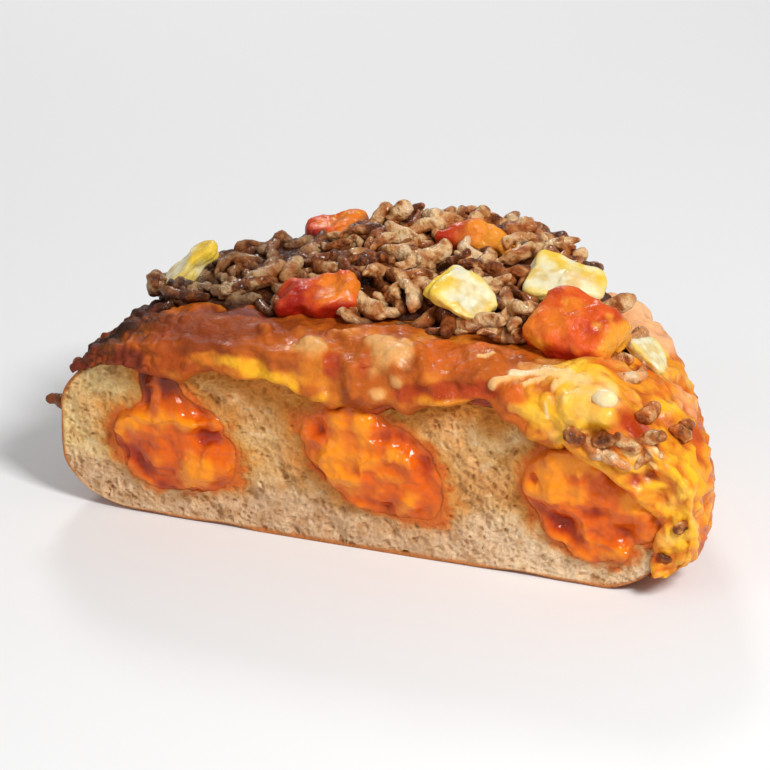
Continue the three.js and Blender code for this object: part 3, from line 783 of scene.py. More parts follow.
@dataclass
class Layer:
    """A layer of food that lies on the loaf, cut through at y = 0, with a front that hangs there.

    Its outer side goes up the side of the loaf at each angle and then straight across the top to
    the cut. A strip closes the front, a band closes the edge, and a coarse sheet the underside.

    Args:
        name: the CAD node that it stands for.
        columns: how many columns go round it.
        side: rows up its side.
        top: rows in over its top.
        front: rows across its front.
        coarse: how many rows or columns the hidden underside takes together.
        band: rows in the band that closes its edge.
    """

    name: str
    columns: int
    side: int
    top: int
    front: int
    coarse: int
    band: int = 8

    def edge(self, angle: Array) -> Array:
        """The station at which the layer stops."""
        raise NotImplementedError

    def over(self, angle: Array, station: Array) -> Array:
        """The offset of the outer side."""
        raise NotImplementedError

    def under(self, angle: Array, station: Array) -> Array:
        """The offset of the underside."""
        raise NotImplementedError

    def hang(self, outer: Array, inner: Array) -> tuple[Array, Array]:
        """Where the front's lower boundary lies, and how far forward the front stands.

        Args:
            outer: the outer side's points along the cut, from the right-hand tip to the left.
            inner: the underside's points along the cut.

        Returns:
            The boundary as X and Z for each point, and the distance forward.
        """
        raise NotImplementedError

    def _sheet(self, theta: Array, rows: Array, outer: bool) -> tuple[Array, Array]:
        """A side or top sheet. Rows up to 1 climb the side, and rows beyond cross the top.

        Args:
            theta: the columns' angles.
            rows: for each row and column, how far along it is: 0 at the edge, 1 where the top
                begins, 2 at the cut.
            outer: the outer side, or else the underside.

        Returns:
            The points, and the way straight out of the loaf at each of them.
        """
        angle = np.broadcast_to(theta, rows.shape)
        station = mix(self.edge(angle), 4.0, np.minimum(rows, 1))
        across = np.clip(rows - 1, 0, 1)
        flat = LOAF.skin(theta, 4.0, 0.0)
        ends = LOAF.skin(np.array([0.0, np.pi]), 4.0, 0.0)[:, 0]
        cut_x = mix(ends[0], ends[1], (1 - np.cos(theta)) / 2)
        x, y = mix(flat[:, 0], cut_x, across), mix(flat[:, 1], 0, across)
        on_top = rows > 1
        angle = np.where(on_top, np.arctan2(y, x), angle)
        station = np.where(on_top, np.clip(5 - np.hypot(x, y) / LOAF.flat_rim(angle), 4, 5), station)
        offset = (self.over if outer else self.under)(angle, station)
        points = LOAF.skin(angle, station, offset)
        ways = unit(LOAF.skin(angle, station, offset + 1) - points)
        points[..., 0] = np.where(on_top, x, points[..., 0])
        points[..., 1] = np.where(on_top, y, points[..., 1])
        points[..., 1] = np.where(np.abs(points[..., 1]) < 1e-6, 0, points[..., 1])
        for column in (0, -1):
            climbed = np.minimum(np.arange(len(rows)), np.argmax(rows[:, column] >= 1))
            points[:, column] = points[climbed, column]
            ways[:, column] = ways[climbed, column]
        return points, ways

    def build(self) -> Surface:
        """Makes the closed surface of the layer."""
        theta = np.linspace(0, np.pi, self.columns + 1)
        climb = np.linspace(0, 1, self.side + 1)
        across = 2 - (1 - np.linspace(0, 1, self.top + 1)[1:]) ** 1.6
        rows = np.concatenate([climb, across])
        outer, ways = self._sheet(theta, np.broadcast_to(rows[:, None], (len(rows), len(theta))), True)
        coarse = np.arange(0, self.columns + 1, self.coarse)
        steps = self.side // self.coarse
        span = np.hypot(*LOAF.skin(theta[coarse], 4.0, 0.0)[:, :2].T) * np.sin(theta[coarse]) / 25
        along = np.linspace(0, 1, steps + 1)[:, None] * (1 + span)
        along = np.where(along > 1, 1 + (along - 1) / np.maximum(span, 1e-9), along)
        along[-1] = np.where(span > 1e-6, 2, 1)
        inner, under_ways = self._sheet(theta[coarse], along, False)
        inner[:, [0, -1], 1] = 0
        cut_outer = np.concatenate([outer[: self.side, 0], outer[-1], outer[: self.side, -1][::-1]])
        side = np.round(np.arange(self.side) / self.coarse).astype(int)
        top = np.round(np.arange(self.columns + 1) / self.coarse).astype(int)
        cut_inner = np.concatenate([inner[side, 0], inner[-1, top], inner[side, -1][::-1]])
        band = self._edge_band(theta, outer[0], inner[0, top])
        front = self._front(cut_outer, cut_inner, band)
        cut_ways = np.concatenate([ways[: self.side, 0], ways[-1], ways[: self.side, -1][::-1]])
        turned = ease(np.linspace(0, 1, self.front + 1), 0, 0.35)[:, None, None]
        front_ways = unit(mix(cut_ways, np.array([0.0, -1.0, 0.0]), turned))
        surface = Surface()
        surface.add(outer, ways=ways)
        surface.add(band, np.linspace(1, 0, self.band + 1)[:, None] ** 0.5, ways=ways[0])
        fade = ease(np.linspace(1, 0, self.front + 1), 0.06, 0.3)[:, None]
        surface.add(front, fade, ways=front_ways)
        surface.add(inner, 0.0, ways=under_ways)
        return surface.weld(f"cooked_{self.name}")

    def _edge_band(self, theta: Array, outer: Array, inner: Array) -> Array:
        """Rounds the edge: a half sine between the two sides, bulging down the loaf."""
        share = np.linspace(0, 1, self.band + 1)[:, None, None]
        edge = self.edge(theta)
        along = unit(LOAF.skin(theta, edge - 0.02, 2.0) - LOAF.skin(theta, edge, 2.0))
        thick = np.linalg.norm(inner - outer, axis=-1, keepdims=True)
        band = mix(outer, inner, share) + 0.55 * thick * along * np.sin(np.pi * share)
        band[0], band[-1] = outer, inner
        band[:, [0, -1], 1] = 0
        return band

    def _front(self, outer: Array, inner: Array, band: Array) -> Array:
        """Closes the cut: out over the boundary, forwards in a rounded roll, and back behind it."""
        bound, stand = self.hang(outer, inner)
        seen = self.front - 4
        share = np.linspace(0, 1, seen + 1)[:, None]
        rise = np.sqrt(1 - (1 - np.minimum(share / 0.3, 1)) ** 2)
        roll = np.sqrt(np.maximum(0, 1 - np.maximum(0, (share - 0.8) / 0.2) ** 2))
        x = mix(outer[:, 0], bound[:, 0], share**1.25)
        z = mix(outer[:, 2], bound[:, 1], share**1.25)
        soft = (1 + 0.3 * lumps(x, 3.0, z, 11, 0.9)) * (1 + 0.3 * bell(share, 0.8, 0.16))
        y = -stand * soft * rise * mix(0.12, 1, roll)
        y[0] = 0
        shown = xyz(x, y, z)
        back = np.linspace(0, 1, 5)[1:, None, None]
        front = np.concatenate([shown, mix(shown[-1], inner, back)])
        even = np.linspace(0, 1, self.front + 1)[:, None, None]
        away = way_along(outer)
        for end, column in ((0, 0), (-1, -1)):
            bulge = band[self.band // 2, column] - mix(outer[end], inner[end], 0.5)
            plain = mix(outer, inner, even) + np.sin(np.pi * even) * bulge
            from_end = away if end == 0 else away[-1] - away
            front = mix(plain, front, ease(from_end, 0, 5)[:, None])
        front[0], front[-1] = outer, inner
        snapped = np.round(np.linspace(0, self.band, self.front + 1)).astype(int)
        front[:, 0], front[:, -1] = band[snapped, 0], band[snapped, -1]
        return front


class TomatoSauce(Layer):
    """The thin layer of cooked tomato sauce on the crumb, which shows as a dark line at the cut."""

    DRIPS = ((-56.0, 7.0, 1.8), (-39.0, 4.0, 1.6), (4.0, 6.0, 2.2), (25.0, 5.0, 1.2))

    def edge(self, angle: Array) -> Array:
        """The sauce stops round the top corner."""
        return LOAF.tomato_edge(angle)

    def over(self, angle: Array, station: Array) -> Array:
        """The upper side follows the loaf at the sauce's thickness."""
        return LOAF.tomato_over(LOAF.skin(angle, station, 0)[..., 0])

    def under(self, angle: Array, station: Array) -> Array:
        """The underside lies on the crumb."""
        return np.full(np.shape(station), 0.1)

    def hang(self, outer: Array, inner: Array) -> tuple[Array, Array]:
        """The sauce ends behind the cheese's lower edge, and hangs below it in a few places."""
        x = inner[:, 0]
        line = xyz(x, 0.0, 0.0)
        shown = sum(height * bell(x, at, reach) for at, reach, height in self.DRIPS)
        below = shown + 0.5 * noise(line, 4.0, 62) * ease(shown, 0.2, 1)
        z = np.minimum(MeltedCheese.lip(x) + 0.9 - below, inner[:, 2])
        return np.stack([x, z], -1), 0.4 + 0.75 * ease(below, 0.4, 2.0)

    def dress(self) -> Object:
        """Colours the sauce red-brown, lighter in blotches."""
        surface = self.build()
        surface.push(0.25 * fractal(surface.points, 2.4, 5))
        tone = 0.5 + 0.5 * fractal(surface.points, 5.0, 6)
        colours = coated(Shade.TOMATO_DEEP.rgb, (Shade.TOMATO_SAUCE, tone))
        return finished_piece(surface, colours, 0.8, SAUCE_FINISH, (self.name,))


class MeltedCheese(Layer):
    """The melted cheese: over the top, down the right-hand end, and round on to the cut face."""

    LIP_X = (-64, -58, -54, -48.5, -44.5, -37, -29.5, -21, -14.6, -8)
    LIP_X += (-1.5, 4, 8.4, 11.5, 17, 23.5, 28.5, 34, 38, 44.5)
    LIP_Z = (27, 30.4, 32.6, 33.6, 31.6, 32, 34.4, 34.2, 33.8, 32.2)
    LIP_Z += (30.4, 30.8, 32.4, 31.6, 33.6, 36.2, 36.4, 33.4, 30.4, 28.8)
    TOE = 0.5
    PEARL = ((52.4, -2.1, 41.7), (2.5, 2.1, 2.0))

    @staticmethod
    def run(angle: Array) -> Array:
        """1 where the cheese runs down the right-hand end, 0 elsewhere."""
        return 1 - ease(np.abs(angle), *np.radians([20, 46]))

    def edge(self, angle: Array) -> Array:
        """The cheese runs low at the right-hand end and stops at the rim elsewhere."""
        return LOAF.cheese_edge(angle) - 0.14 * self.run(angle)

    def over(self, angle: Array, station: Array) -> Array:
        """The outer side is the loaf's cheese, and comes down to the crust at its edge.

        Where the cheese runs down the right-hand end it gathers in a thick toe above its edge.
        """
        x = LOAF.skin(angle, station, 0)[..., 0]
        past = station - self.edge(angle)
        toe = self.run(angle) * self.TOE * bell(past, 0.42, 0.4)
        full = LOAF.cheese_under(x) + LOAF.cheese_body(angle, station) + toe
        near = ease(past, 0, mix(0.55, 0.3, self.run(angle)))
        return mix(self.under(angle, station) + LOAF.tail * LOAF.thinning(x), full, near)

    def under(self, angle: Array, station: Array) -> Array:
        """The underside lies above the tomato sauce, and on the crust beyond it."""
        lifted = ease(station, 3.2, 3.75) * ease(station - self.edge(angle), 0, 0.3)
        return mix(0.1, LOAF.cheese_under(LOAF.skin(angle, station, 0)[..., 0]), lifted)

    @classmethod
    def lip(cls, x: Array) -> Array:
        """The height of the cheese's lower edge on the cut: smoothsteps from knot to knot."""
        at, height = np.array(cls.LIP_X), np.array(cls.LIP_Z)
        knot = np.clip(np.searchsorted(at, x) - 1, 0, len(at) - 2)
        share = ease((x - at[knot]) / (at[knot + 1] - at[knot]), 0, 1)
        return mix(height[knot], height[knot + 1], share)

    @staticmethod
    def drape_edge(z: Array) -> Array:
        """How far along the cut the drape reaches at each height: inwards as it rises."""
        line = xyz(0.0, 0.0, z)
        ragged = 1.6 * noise(line, 5.0, 65) + 0.6 * noise(line, 2.0, 66)
        return 66.0 - 26.0 * ease(z, 11, 39) - 5.0 * (1 - ease(z, 10, 20)) + ragged

    def hang(self, outer: Array, inner: Array) -> tuple[Array, Array]:
        """The drape's boundary rises along the crumb's corner, and lips hang over the crumb.

        From the right-hand tip the boundary climbs evenly with the way along the outer side, and
        from x = 46 leftwards it lies at the lips' lower edge, unevenly.
        """
        x = outer[:, 0]
        way = way_along(outer)
        turn = int(np.argmax((x < 46) & (outer[:, 2] > 30)))
        rising = np.clip(way / way[turn], 0, 1)
        z_drape = mix(inner[0, 2], 31.5, rising**1.15)
        climb = inner[: turn + 1]
        order = np.argsort(climb[:, 2])
        outline = np.interp(z_drape, climb[order, 2], climb[order, 0])
        x_drape = np.minimum(self.drape_edge(z_drape), outline)
        line = xyz(x, 0.0, 0.0)
        ragged = 0.8 * noise(line, 4.5, 63) + 0.3 * noise(line, 1.8, 64)
        z_lip = np.minimum(self.lip(x) + ragged, inner[:, 2])
        drop = inner[:, 2] - z_lip
        corner = ease(-x, 50, 57)
        corner_centre, inset_by = np.array([-46.0, 24.0]), 1.8
        inset = inner[:, [0, 2]] + inset_by * unit(corner_centre - inner[:, [0, 2]])
        x_lip, z_lip = mix(x, inset[:, 0], corner), mix(z_lip, inset[:, 1], corner)
        lips = ease(way, way[turn] - 5, way[turn] + 5)
        bound = np.stack([mix(x_drape, x_lip, lips), mix(z_drape, z_lip, lips)], -1)
        stand = mix(3.8 * (1 - 0.55 * ease(x, 62, 73)), 1.2 + 1.5 * ease(drop, 0, 4.5), lips)
        return bound, stand * mix(1, 0.45, ease(-x, 48, 60))

    def _melt(self, surface: Surface) -> Array:
        """Pushes the surface into melted forms, and returns how far each point was pushed.

        Broad sags, then lumps, then small bubbles where cells of noise are nearest, then the
        patches that stand out. The right-hand end is lumpier than the rest, and the charred
        left-hand end rougher.
        """
        p = surface.points
        x, y, z = p.T
        end, burnt = ease(x, 38, 54), ease(-x, 34, 46) * ease(z, 26, 31)
        broad = 0.8 * fractal(p, 6.5, 11, 2) - 1.2 * ease(x, 54, 64)
        knobs = mix(0.45, 0.9, end) * fractal(p, 3.2, 12, 3)
        near, _, key = cells(p, 3.0, 13)
        bubbles = np.where(key > 0.55, 0.6, -0.15) * np.maximum(0, 1 - (near / 1.4) ** 2)
        crusty = 2.0 * np.abs(fractal(p, 3.6, 14, 3))
        amount = broad + knobs + bubbles * mix(0.6, 1.1, end) + crusty * burnt
        amount = amount + raised(p, self.PATCHES, 60)
        ridges = [shred.rise * shred.share(p) ** 0.8 for shred in self.shreds]
        amount = amount + np.max(ridges, axis=0)
        tip = ease(-x, 57, 62) * (1 - ease(y, 2, 7))
        surface.push(amount * (1 - 0.6 * tip))
        return amount

    def _scattered_shreds(self, surface: Surface) -> list[Shred]:
        """Shreds that lie here and there on the front and on the right-hand end.

        Each is centred on a point of the surface chosen by chance, and runs across the way out.
        """
        random = np.random.default_rng(17)
        p, ways = surface.points, surface.ways
        region = (p[:, 1] < 30) & (p[:, 2] > 4) & (surface.freedom > 0.5)
        weight = region * ease(p[:, 0], 34, 48) * mix(1, 0.4, ease(p[:, 1], 6, 16))
        chosen = random.choice(len(p), self.SHREDS, False, weight / weight.sum())
        kinds = [Shade.YELLOW, Shade.CREAM, Shade.YELLOW]
        shades = random.choice(kinds, self.SHREDS)
        shreds = []
        for centre, way, shade in zip(p[chosen], ways[chosen], shades):
            arm = unit(np.cross(way, random.normal(size=3))) * random.uniform(1.5, 4.5)
            reach, rise = random.uniform(1.0, 2.0), random.uniform(0.3, 0.8)
            shreds.append(Shred(tuple(centre - arm), tuple(centre + arm), shade, reach, rise))
        return shreds

    SHREDS = 110
    PLACED_SHREDS = from_rows(
        Shred,
        (Shade.CREAM, 29.5, -2, 40.8, 34.5, 0.8, 42.4, 1.2, 0.8),
        (Shade.WHITE, 33, 1.2, 42.6, 39, 3.4, 43, 1.7, 0.9),
        (Shade.CREAM, 38, 3, 43, 46.8, 2.6, 42.4, 1.8, 0.9),
        (Shade.CREAM, 36.5, -1.4, 41.2, 40, 2.4, 42.8, 1.1, 0.7),
        (Shade.CREAM, 42, -1, 41.4, 43.6, 2.6, 42.8, 1.0, 0.6),
        (Shade.TAN, 3.4, 3.4, 43.6, 10.6, 0.8, 43, 2.6, 0.9),
        (Shade.TAN, 8.6, 0, 42.6, 10.4, -2, 39, 2.0, 0.7),
        # A painted highlight: a short cream glint on the cheese.
        (Shade.CREAM, 25.4, 2.8, 43.2, 27.8, 4.4, 43.8, 0.6, 0.3),
        (Shade.TAN, -10.4, 1.6, 42.4, -6.2, 0.4, 42, 1.5, 0.8),
        (Shade.WHITE, 40.8, -3, 40, 41.6, -3, 36.8, 0.8, 0.5),
        (Shade.CREAM, 57.5, -3.6, 31.8, 63, -3.6, 29.6, 0.9, 0.7),
        (Shade.CREAM, 52.5, -4, 28.6, 57, -4, 26.8, 0.9, 0.6),
        (Shade.WHITE, 62, -3.4, 32.6, 66, -2.6, 35.4, 0.9, 0.7),
        (Shade.AMBER, -21, 6, 44, -15.5, -2, 38.5, 1.6, 0.9),
        (Shade.BROWN, -38, 6, 41, -34, -2, 36, 1.6, 1.0),
        (Shade.AMBER, 12, 6, 45, 16, -2, 40, 1.6, 0.8),
    )

    PATCHES = from_rows(
        Patch,
        (Shade.CHAR, -50, 14, 36, 12, 16, 8, 0.9, 0.3),
        (Shade.SCORCHED, -48, 34, 33, 14, 14, 9, 0.9),
        (Shade.CHAR, -53, 2, 36, 8, 5, 3.6, 1.0, 0.5),
        (Shade.CHAR, -58, 4, 31.5, 5, 7, 4, 0.9),
        (Shade.SCORCHED, -59, -1, 30, 4, 3, 3, 0.9),
        (Shade.ORANGE, -50, -1.5, 34.4, 3.6, 3, 1.6, 0.6),
        (Shade.SCORCHED, -46, -1.5, 35.8, 4.4, 3, 2.4, 0.95, 0.8),
        (Shade.TOMATO_DEEP, -42, -2, 33, 5.4, 4, 2.4, 0.9),
        (Shade.TOMATO_DEEP, -37.5, -1, 36.5, 5, 4, 5, 0.8),
        (Shade.RED, -33, -1, 40.6, 9, 6, 3.4, 0.5),
        (Shade.BROWN, -33, -1, 40.6, 10, 7, 4, 0.95),
        (Shade.SCORCHED, -32, 3, 42.4, 16, 8, 3.4, 0.4),
        # These two darken the cheese in front of the heap: its own brown, with painted shade under the
        # mince.
        (Shade.BROWN, -26, 7, 43, 20, 8, 5, 0.95),
        (Shade.SCORCHED, -30, 12, 42, 10, 4, 4, 0.9),
        (Shade.GOLD, -13, -1.5, 35.8, 15, 4, 3.6, 0.9),
        (Shade.GOLD, -30, -1.5, 38, 5, 4, 1.8, 0.6, 0.2),
        (Shade.YELLOW, -23, -1.5, 37.6, 7, 4, 2.4, 0.9, 0.3),
        (Shade.YELLOW, -16.5, -1.5, 36.9, 6.5, 4, 2.6, 0.85, 0.4),
        (Shade.YELLOW, -10, -1.5, 34.9, 4.5, 4, 2, 0.8, 0.3),
        (Shade.YELLOW, -5, -1.5, 33.2, 5, 4, 2.2, 0.85, 0.3),
        (Shade.TAN, -8.5, 1, 42.2, 3.8, 4, 2.4, 0.95, 0.8),
        (Shade.RED, -3.4, -1.5, 40.5, 2, 4, 3.8, 0.85, -0.5),
        (Shade.AMBER, 0.9, -2, 38.6, 1.9, 3, 3.6, 0.9, 1.0),
        (Shade.RED, 3.6, -1.5, 41, 1.5, 4, 3, 0.6, -0.5),
        (Shade.TAN, 7.5, 1.5, 43, 5.4, 6, 5, 0.95, 0.8),
        (Shade.TOMATO_DEEP, 3.8, -1.5, 33.2, 5, 4, 2, 0.95, -0.4),
        # A painted highlight: a small cream spot on the cheese's front.
        (Shade.CREAM, 6.4, -1.5, 36.2, 2, 3, 1.4, 0.7, 0.6),
        (Shade.RED, 14, -2, 37.4, 6, 4, 2.2, 0.75, -0.4),
        (Shade.RED, 22, -2, 39, 6.5, 4, 2, 0.75, -0.4),
        (Shade.RED, 28, -2, 39.8, 5, 4, 1.6, 0.7, -0.4),
        (Shade.ORANGE, 20, 5, 43, 8, 8, 3, 0.8, 0.9),
        (Shade.AMBER, 26, 3, 43.2, 5, 5, 2.6, 0.8, 0.8),
        (Shade.CREAM, 40, 3, 43, 8, 4, 2, 0.5),
        (Shade.GOLD, 22, -2, 36.2, 9, 4, 1.3, 0.85, 0.5),
        (Shade.ORANGE, 34.5, -2, 39.6, 3.2, 3, 2.2, 0.95, 0.9),
        (Shade.YELLOW, 40, -3, 37.4, 4.4, 4, 3.4, 0.95, 0.4),
        (Shade.YELLOW, 47, -3, 38.4, 5, 4, 3.8, 0.95, 0.5),
        (Shade.YELLOW, 52.5, -4, 38.2, 4.6, 4, 2.8, 0.95, 0.4),
        (Shade.CREAM, 51.5, -1.5, 41.4, 7.5, 6, 3, 0.9, 0.7),
        (Shade.RED, 58, -2.6, 38.8, 3, 4, 4.4, 0.9, -0.5),
        (Shade.GOLD, 61.5, 2, 41, 5, 6, 3.4, 0.95, 0.4),
        (Shade.RED, 60, -2.4, 36.6, 2.6, 4, 3.4, 0.9, -0.4),
        (Shade.YELLOW, 64, 7, 39, 5, 7, 4, 0.9, 0.4),
        (Shade.ORANGE, 56, -5, 33, 8, 3, 2.2, 0.8, -0.3),
        (Shade.GOLD, 49, -4.5, 29.6, 4, 4, 2, 0.9, 0.5),
        (Shade.GOLD, 54, -4, 26, 3.6, 4, 2.4, 0.9, 0.6),
        (Shade.RED, 60, -3.6, 26.8, 4.2, 4, 2, 0.9, -0.9),
        (Shade.GOLD, 60, -3.6, 21.4, 3, 4, 3, 0.9, 0.6),
        (Shade.ORANGE, 57, -4, 22.5, 3.4, 4, 3, 0.9),
        (Shade.ORANGE, 63.5, -3.6, 15, 3.4, 4, 4, 0.85, -0.3),
        (Shade.YELLOW, 65, -3, 30.5, 3.4, 4, 4, 0.9, 0.4),
        (Shade.YELLOW, 69, -2.4, 25, 3, 5, 7, 0.9, 0.5),
        (Shade.ORANGE, 66, -2, 13, 3, 4, 3, 0.7, 0.4),
        (Shade.RED, 72.4, 3, 33.6, 3.6, 4, 3.2, 0.85, 0.5),
        (Shade.PEACH, 48, 42, 39, 11, 10, 7, 0.7),
        (Shade.PEACH, 43.5, 46, 40, 8, 8, 7, 0.9, 2.0),
        (Shade.PEACH, 51.5, 37.5, 38, 8, 8, 7, 0.9, 1.8),
        (Shade.PEACH, 64, 19.6, 33.5, 5, 6, 5, 0.85, 1.4),
        (Shade.PEACH, 61, 25, 36.5, 6, 8, 5, 0.7),
        (Shade.YELLOW, 68, -1, 14, 5, 6, 8, 0.85),
        (Shade.YELLOW, 70, 3, 28, 4, 6, 8, 0.6),
    )

    def _colours(self, points: Array, amount: Array) -> Array:
        """Amber over most of the top, gold and orange at the right-hand end, then the patches, then
        painted light and shade.
        """
        x, _, z = points.T
        tone = fractal(points, 6.0, 21)
        end = ease(x + 3 * noise(points, 5.0, 27), 38, 48)
        colours = coated(
            Shade.AMBER.rgb,
            (Shade.BROWN, ease(tone, 0.1, 0.5) * 0.7),
            (Shade.GOLD, ease(-tone, 0.15, 0.6) * 0.5),
            (Shade.GOLD, end),
            (Shade.YELLOW, end * ease(fractal(points, 4.5, 22), -0.1, 0.25)),
            (Shade.ORANGE, end * ease(fractal(points, 4.0, 23), 0.1, 0.35) * 0.9),
            (Shade.RED, end * ease(fractal(points, 3.4, 24), 0.35, 0.6) * 0.7),
        )
        colours = painted(points, colours, self.PATCHES, 60)
        marbled = mix(0.2, 0.55, end) * ease(fractal(points, 2.0, 28, 2), 0.1, 0.7)
        colours = blend(colours, Shade.ORANGE, marbled)
        for shred in self.shreds:
            strength = 0.85 if shred in self.PLACED_SHREDS else 0.32
            colours = blend(colours, shred.shade, strength * ease(shred.share(points), 0.15, 0.75))
        scorched = ease(-x, 32, 52) * ease(fractal(points, 4.0, 25), -0.1, 0.3)
        return coated(
            colours,
            # Painted light and shade: cream where the cheese stands out, red where it dips.
            (Shade.CREAM, ease(amount, 1.2, 2.6) * 0.25 * ease(x, -40, -20)),
            (Shade.RED, ease(-amount, 0.5, 1.4) * 0.55),
            (Shade.SCORCHED, scorched * ease(z, 27, 32) * 0.6),
        )

    def dress(self) -> Object:
        """Melts, colours and finishes the cheese."""
        surface = self.build()
        unmelted = surface.points
        self.shreds = [*self._scattered_shreds(surface), *self.PLACED_SHREDS]
        amount = self._melt(surface)
        colours = self._colours(unmelted, amount)
        self.shape = surface.points
        x = unmelted[:, 0]
        wet = 0.55 + 0.8 * fractal(surface.points, 3.4, 26)
        wet = wet - 0.9 * ease(-x, 4, 44) + 0.3 * ease(x, 38, 54)
        return finished_piece(surface, colours, wet, CHEESE_FINISH, (self.name,))

    def rest_on(self, x: Array, across: Array, toward: Array, sink: float) -> Array:
        """Places that lie on the melted surface, on the cut side or on the upper side.

        Args:
            x: how far right each place is.
            across: its height on the cut side, or its Y on the upper side.
            toward: whether it is on the cut side.
            sink: how far below the surface it goes.

        Returns:
            The places. Each takes its missing coordinate from the outermost point close by.
        """
        spots = []
        for at_x, at_across, on_cut in zip(x, across, toward):
            free, kept, way = (1, 2, -1) if on_cut else (2, 1, 1)
            off = self.shape[:, [0, kept]] - np.array([at_x, at_across])
            close = self.shape[np.hypot(*off.T) < 1.0]
            level = way * np.max(way * close[:, free]) - way * sink
            spots.append((at_x, level, at_across) if on_cut else (at_x, at_across, level))
        return np.array(spots)

    def dress_pearl(self) -> Object:
        """A round pearl of white cheese: an uneven ellipsoid on a grid of latitude and longitude."""
        at, half = self.PEARL
        surface = Surface()
        surface.add(np.array(at) + unit_ball(25, 40) * np.array(half), 1.0, True)
        surface.weld("cheese_pearl")
        tone = fractal(surface.points, 3.0, 31)
        surface.push(0.6 * tone)
        colours = coated(Shade.WHITE.rgb, (Shade.CREAM, 0.1 + 0.6 * tone))
        return finished_piece(surface, colours, 0.9, PEARL_FINISH, ())


# --- the cheddar pockets


@dataclass(frozen=True)
class CheddarPocket:
    """A well of thick cheddar sauce in the crumb, cut through. Sizes are in millimetres."""

    name: str
    x: float
    z: float
    width: float
    height: float
    depth: float
    lean: float
    phase: float
    neck: bool = False
    proud: float = 2.1
    columns: int = 230
    rows: int = 100

    def outline(self, turn: Array) -> Array:
        """The well's size at each angle: near 1, with soft lumps, and a lobe where a neck rises."""
        size = 1 + 0.13 * lumps(10 * np.cos(turn), 0.0, 10 * np.sin(turn), 13, self.phase)
        ring = 10 * xyz(np.cos(turn), 0.3 * self.phase, np.sin(turn))
        size = size + 0.08 * noise(ring, 4.2, 91) + 0.055 * fractal(ring, 1.7, 92, 2)
        away = wrapped(turn - 1.766)
        return size + (0.8 * np.exp(-(np.abs(away / 0.24) ** 3)) if self.neck else 0.0)

    def inside(self, x: Array, z: Array) -> Array:
        """How far out a place of the cut is, as a share of the outline: 1 on it."""
        up = (z - self.z) / self.height
        side = (x - self.x - self.lean * (z - self.z)) / self.width
        return np.hypot(side, up) / self.outline(np.arctan2(up, side))

    def well(self, x: Array, z: Array) -> Array:
        """How deep the crumb is hollowed behind a place: half an ellipse."""
        away = self.inside(x, z) / 0.975
        return (self.depth + 0.5) * np.sqrt(np.maximum(0, 1 - away**2))

    def build(self) -> Surface:
        """The sauce: a front that is crowned and rolls in at its rim, and half an ellipsoid behind.

        The grid's columns go round the pocket and its rows from the front's middle to the rim and
        on to the back.
        """
        turn = np.linspace(0, 2 * np.pi, self.columns + 1)[None, :-1]
        out = np.linspace(0, 1, self.rows + 1)[:, None]
        back = np.cos(np.linspace(0, np.pi / 2, 15))[1:, None]
        share = np.concatenate([out, back])
        dz = self.height * share * self.outline(turn) * np.sin(turn)
        dx = self.width * share * self.outline(turn) * np.cos(turn) + self.lean * dz
        front = -0.15 - (self.proud - 0.15) * (1 - out**4)
        behind = -0.15 + (self.depth - 0.5) * np.sqrt(1 - back**2)
        y = np.concatenate([front, behind])
        surface = Surface()
        free = np.concatenate([ease(1 - out, 0, 0.12) * 0.85 + 0.15, 0 * back])
        surface.add(xyz(self.x + dx, y, self.z + dz), free, True)
        return surface.weld(f"cheddar_sauce_{self.name}")

    def dress(self) -> Object:
        """Folds the sauce into thick lumps and colours it by how far each part stands out, as painted
        light and painted shade.
        """
        surface = self.build()
        seed = int(10 * self.phase)
        p = surface.points * np.array([1, 1, 1.15])
        ridge = 0.42 - np.abs(fractal(p, 7.5, seed + 1, 2))
        fold = 2.2 * fractal(p, 8.0, seed, 2) + 2.2 * ridge
        surface.push(fold - 0.3)
        p = surface.points
        crease = 0.65 * fractal(p, 3.2, seed + 2, 3)
        surface.push(crease)
        high = fold + crease + 0.9 * noise(p, 3.4, seed + 3)
        shaded_low_left = ease((self.x - p[:, 0]) / self.width + (self.z - p[:, 2]) / self.height, -0.4, 1.4)
        rim = self.inside(p[:, 0], p[:, 2]) + 0.06 * noise(p, 2.4, seed + 4)
        # Painted light on the tops of the folds; painted shade in the creases and towards the lower
        # left.
        colours = coated(
            Shade.CHEDDAR.rgb,
            (Shade.CHEDDAR_PAINTED_LIGHT, ease(high, 0.2, 1.5) * 0.95),
            (Shade.CHEDDAR_PAINTED_SHADE, ease(-high + 0.8 * shaded_low_left, 0.0, 1.6) * 0.85),
            (Shade.SAUCE_STAIN, ease(rim, 0.8, 1.0) * 0.75),
        )
        if self.neck:
            colours = blend(colours, Shade.SCORCHED, ease(p[:, 2], 24, 31) * 0.75)
            streak = Patch((-41.5, -1, 27), (1.6, 4, 5), Shade.ORANGE)
            colours = painted(p, colours, (streak,), 90)
        wet = 0.85 + 0.25 * fractal(p, 4.0, seed + 5)
        node = f"cheddar_pocket_{self.name}"
        return finished_piece(surface, colours, wet, CHEDDAR_FINISH, (node,))


POCKETS = (
    CheddarPocket("left", -38, 16.6, 14.2, 10.4, 13, 0.0, 0.4, True),
    CheddarPocket("middle", 4.5, 19.8, 14.6, 11.6, 14, -0.42, 2.2),
    CheddarPocket("right", 49.5, 18.4, 13.0, 12.0, 13, -0.1, 4.0),
)


# --- crumb and crust


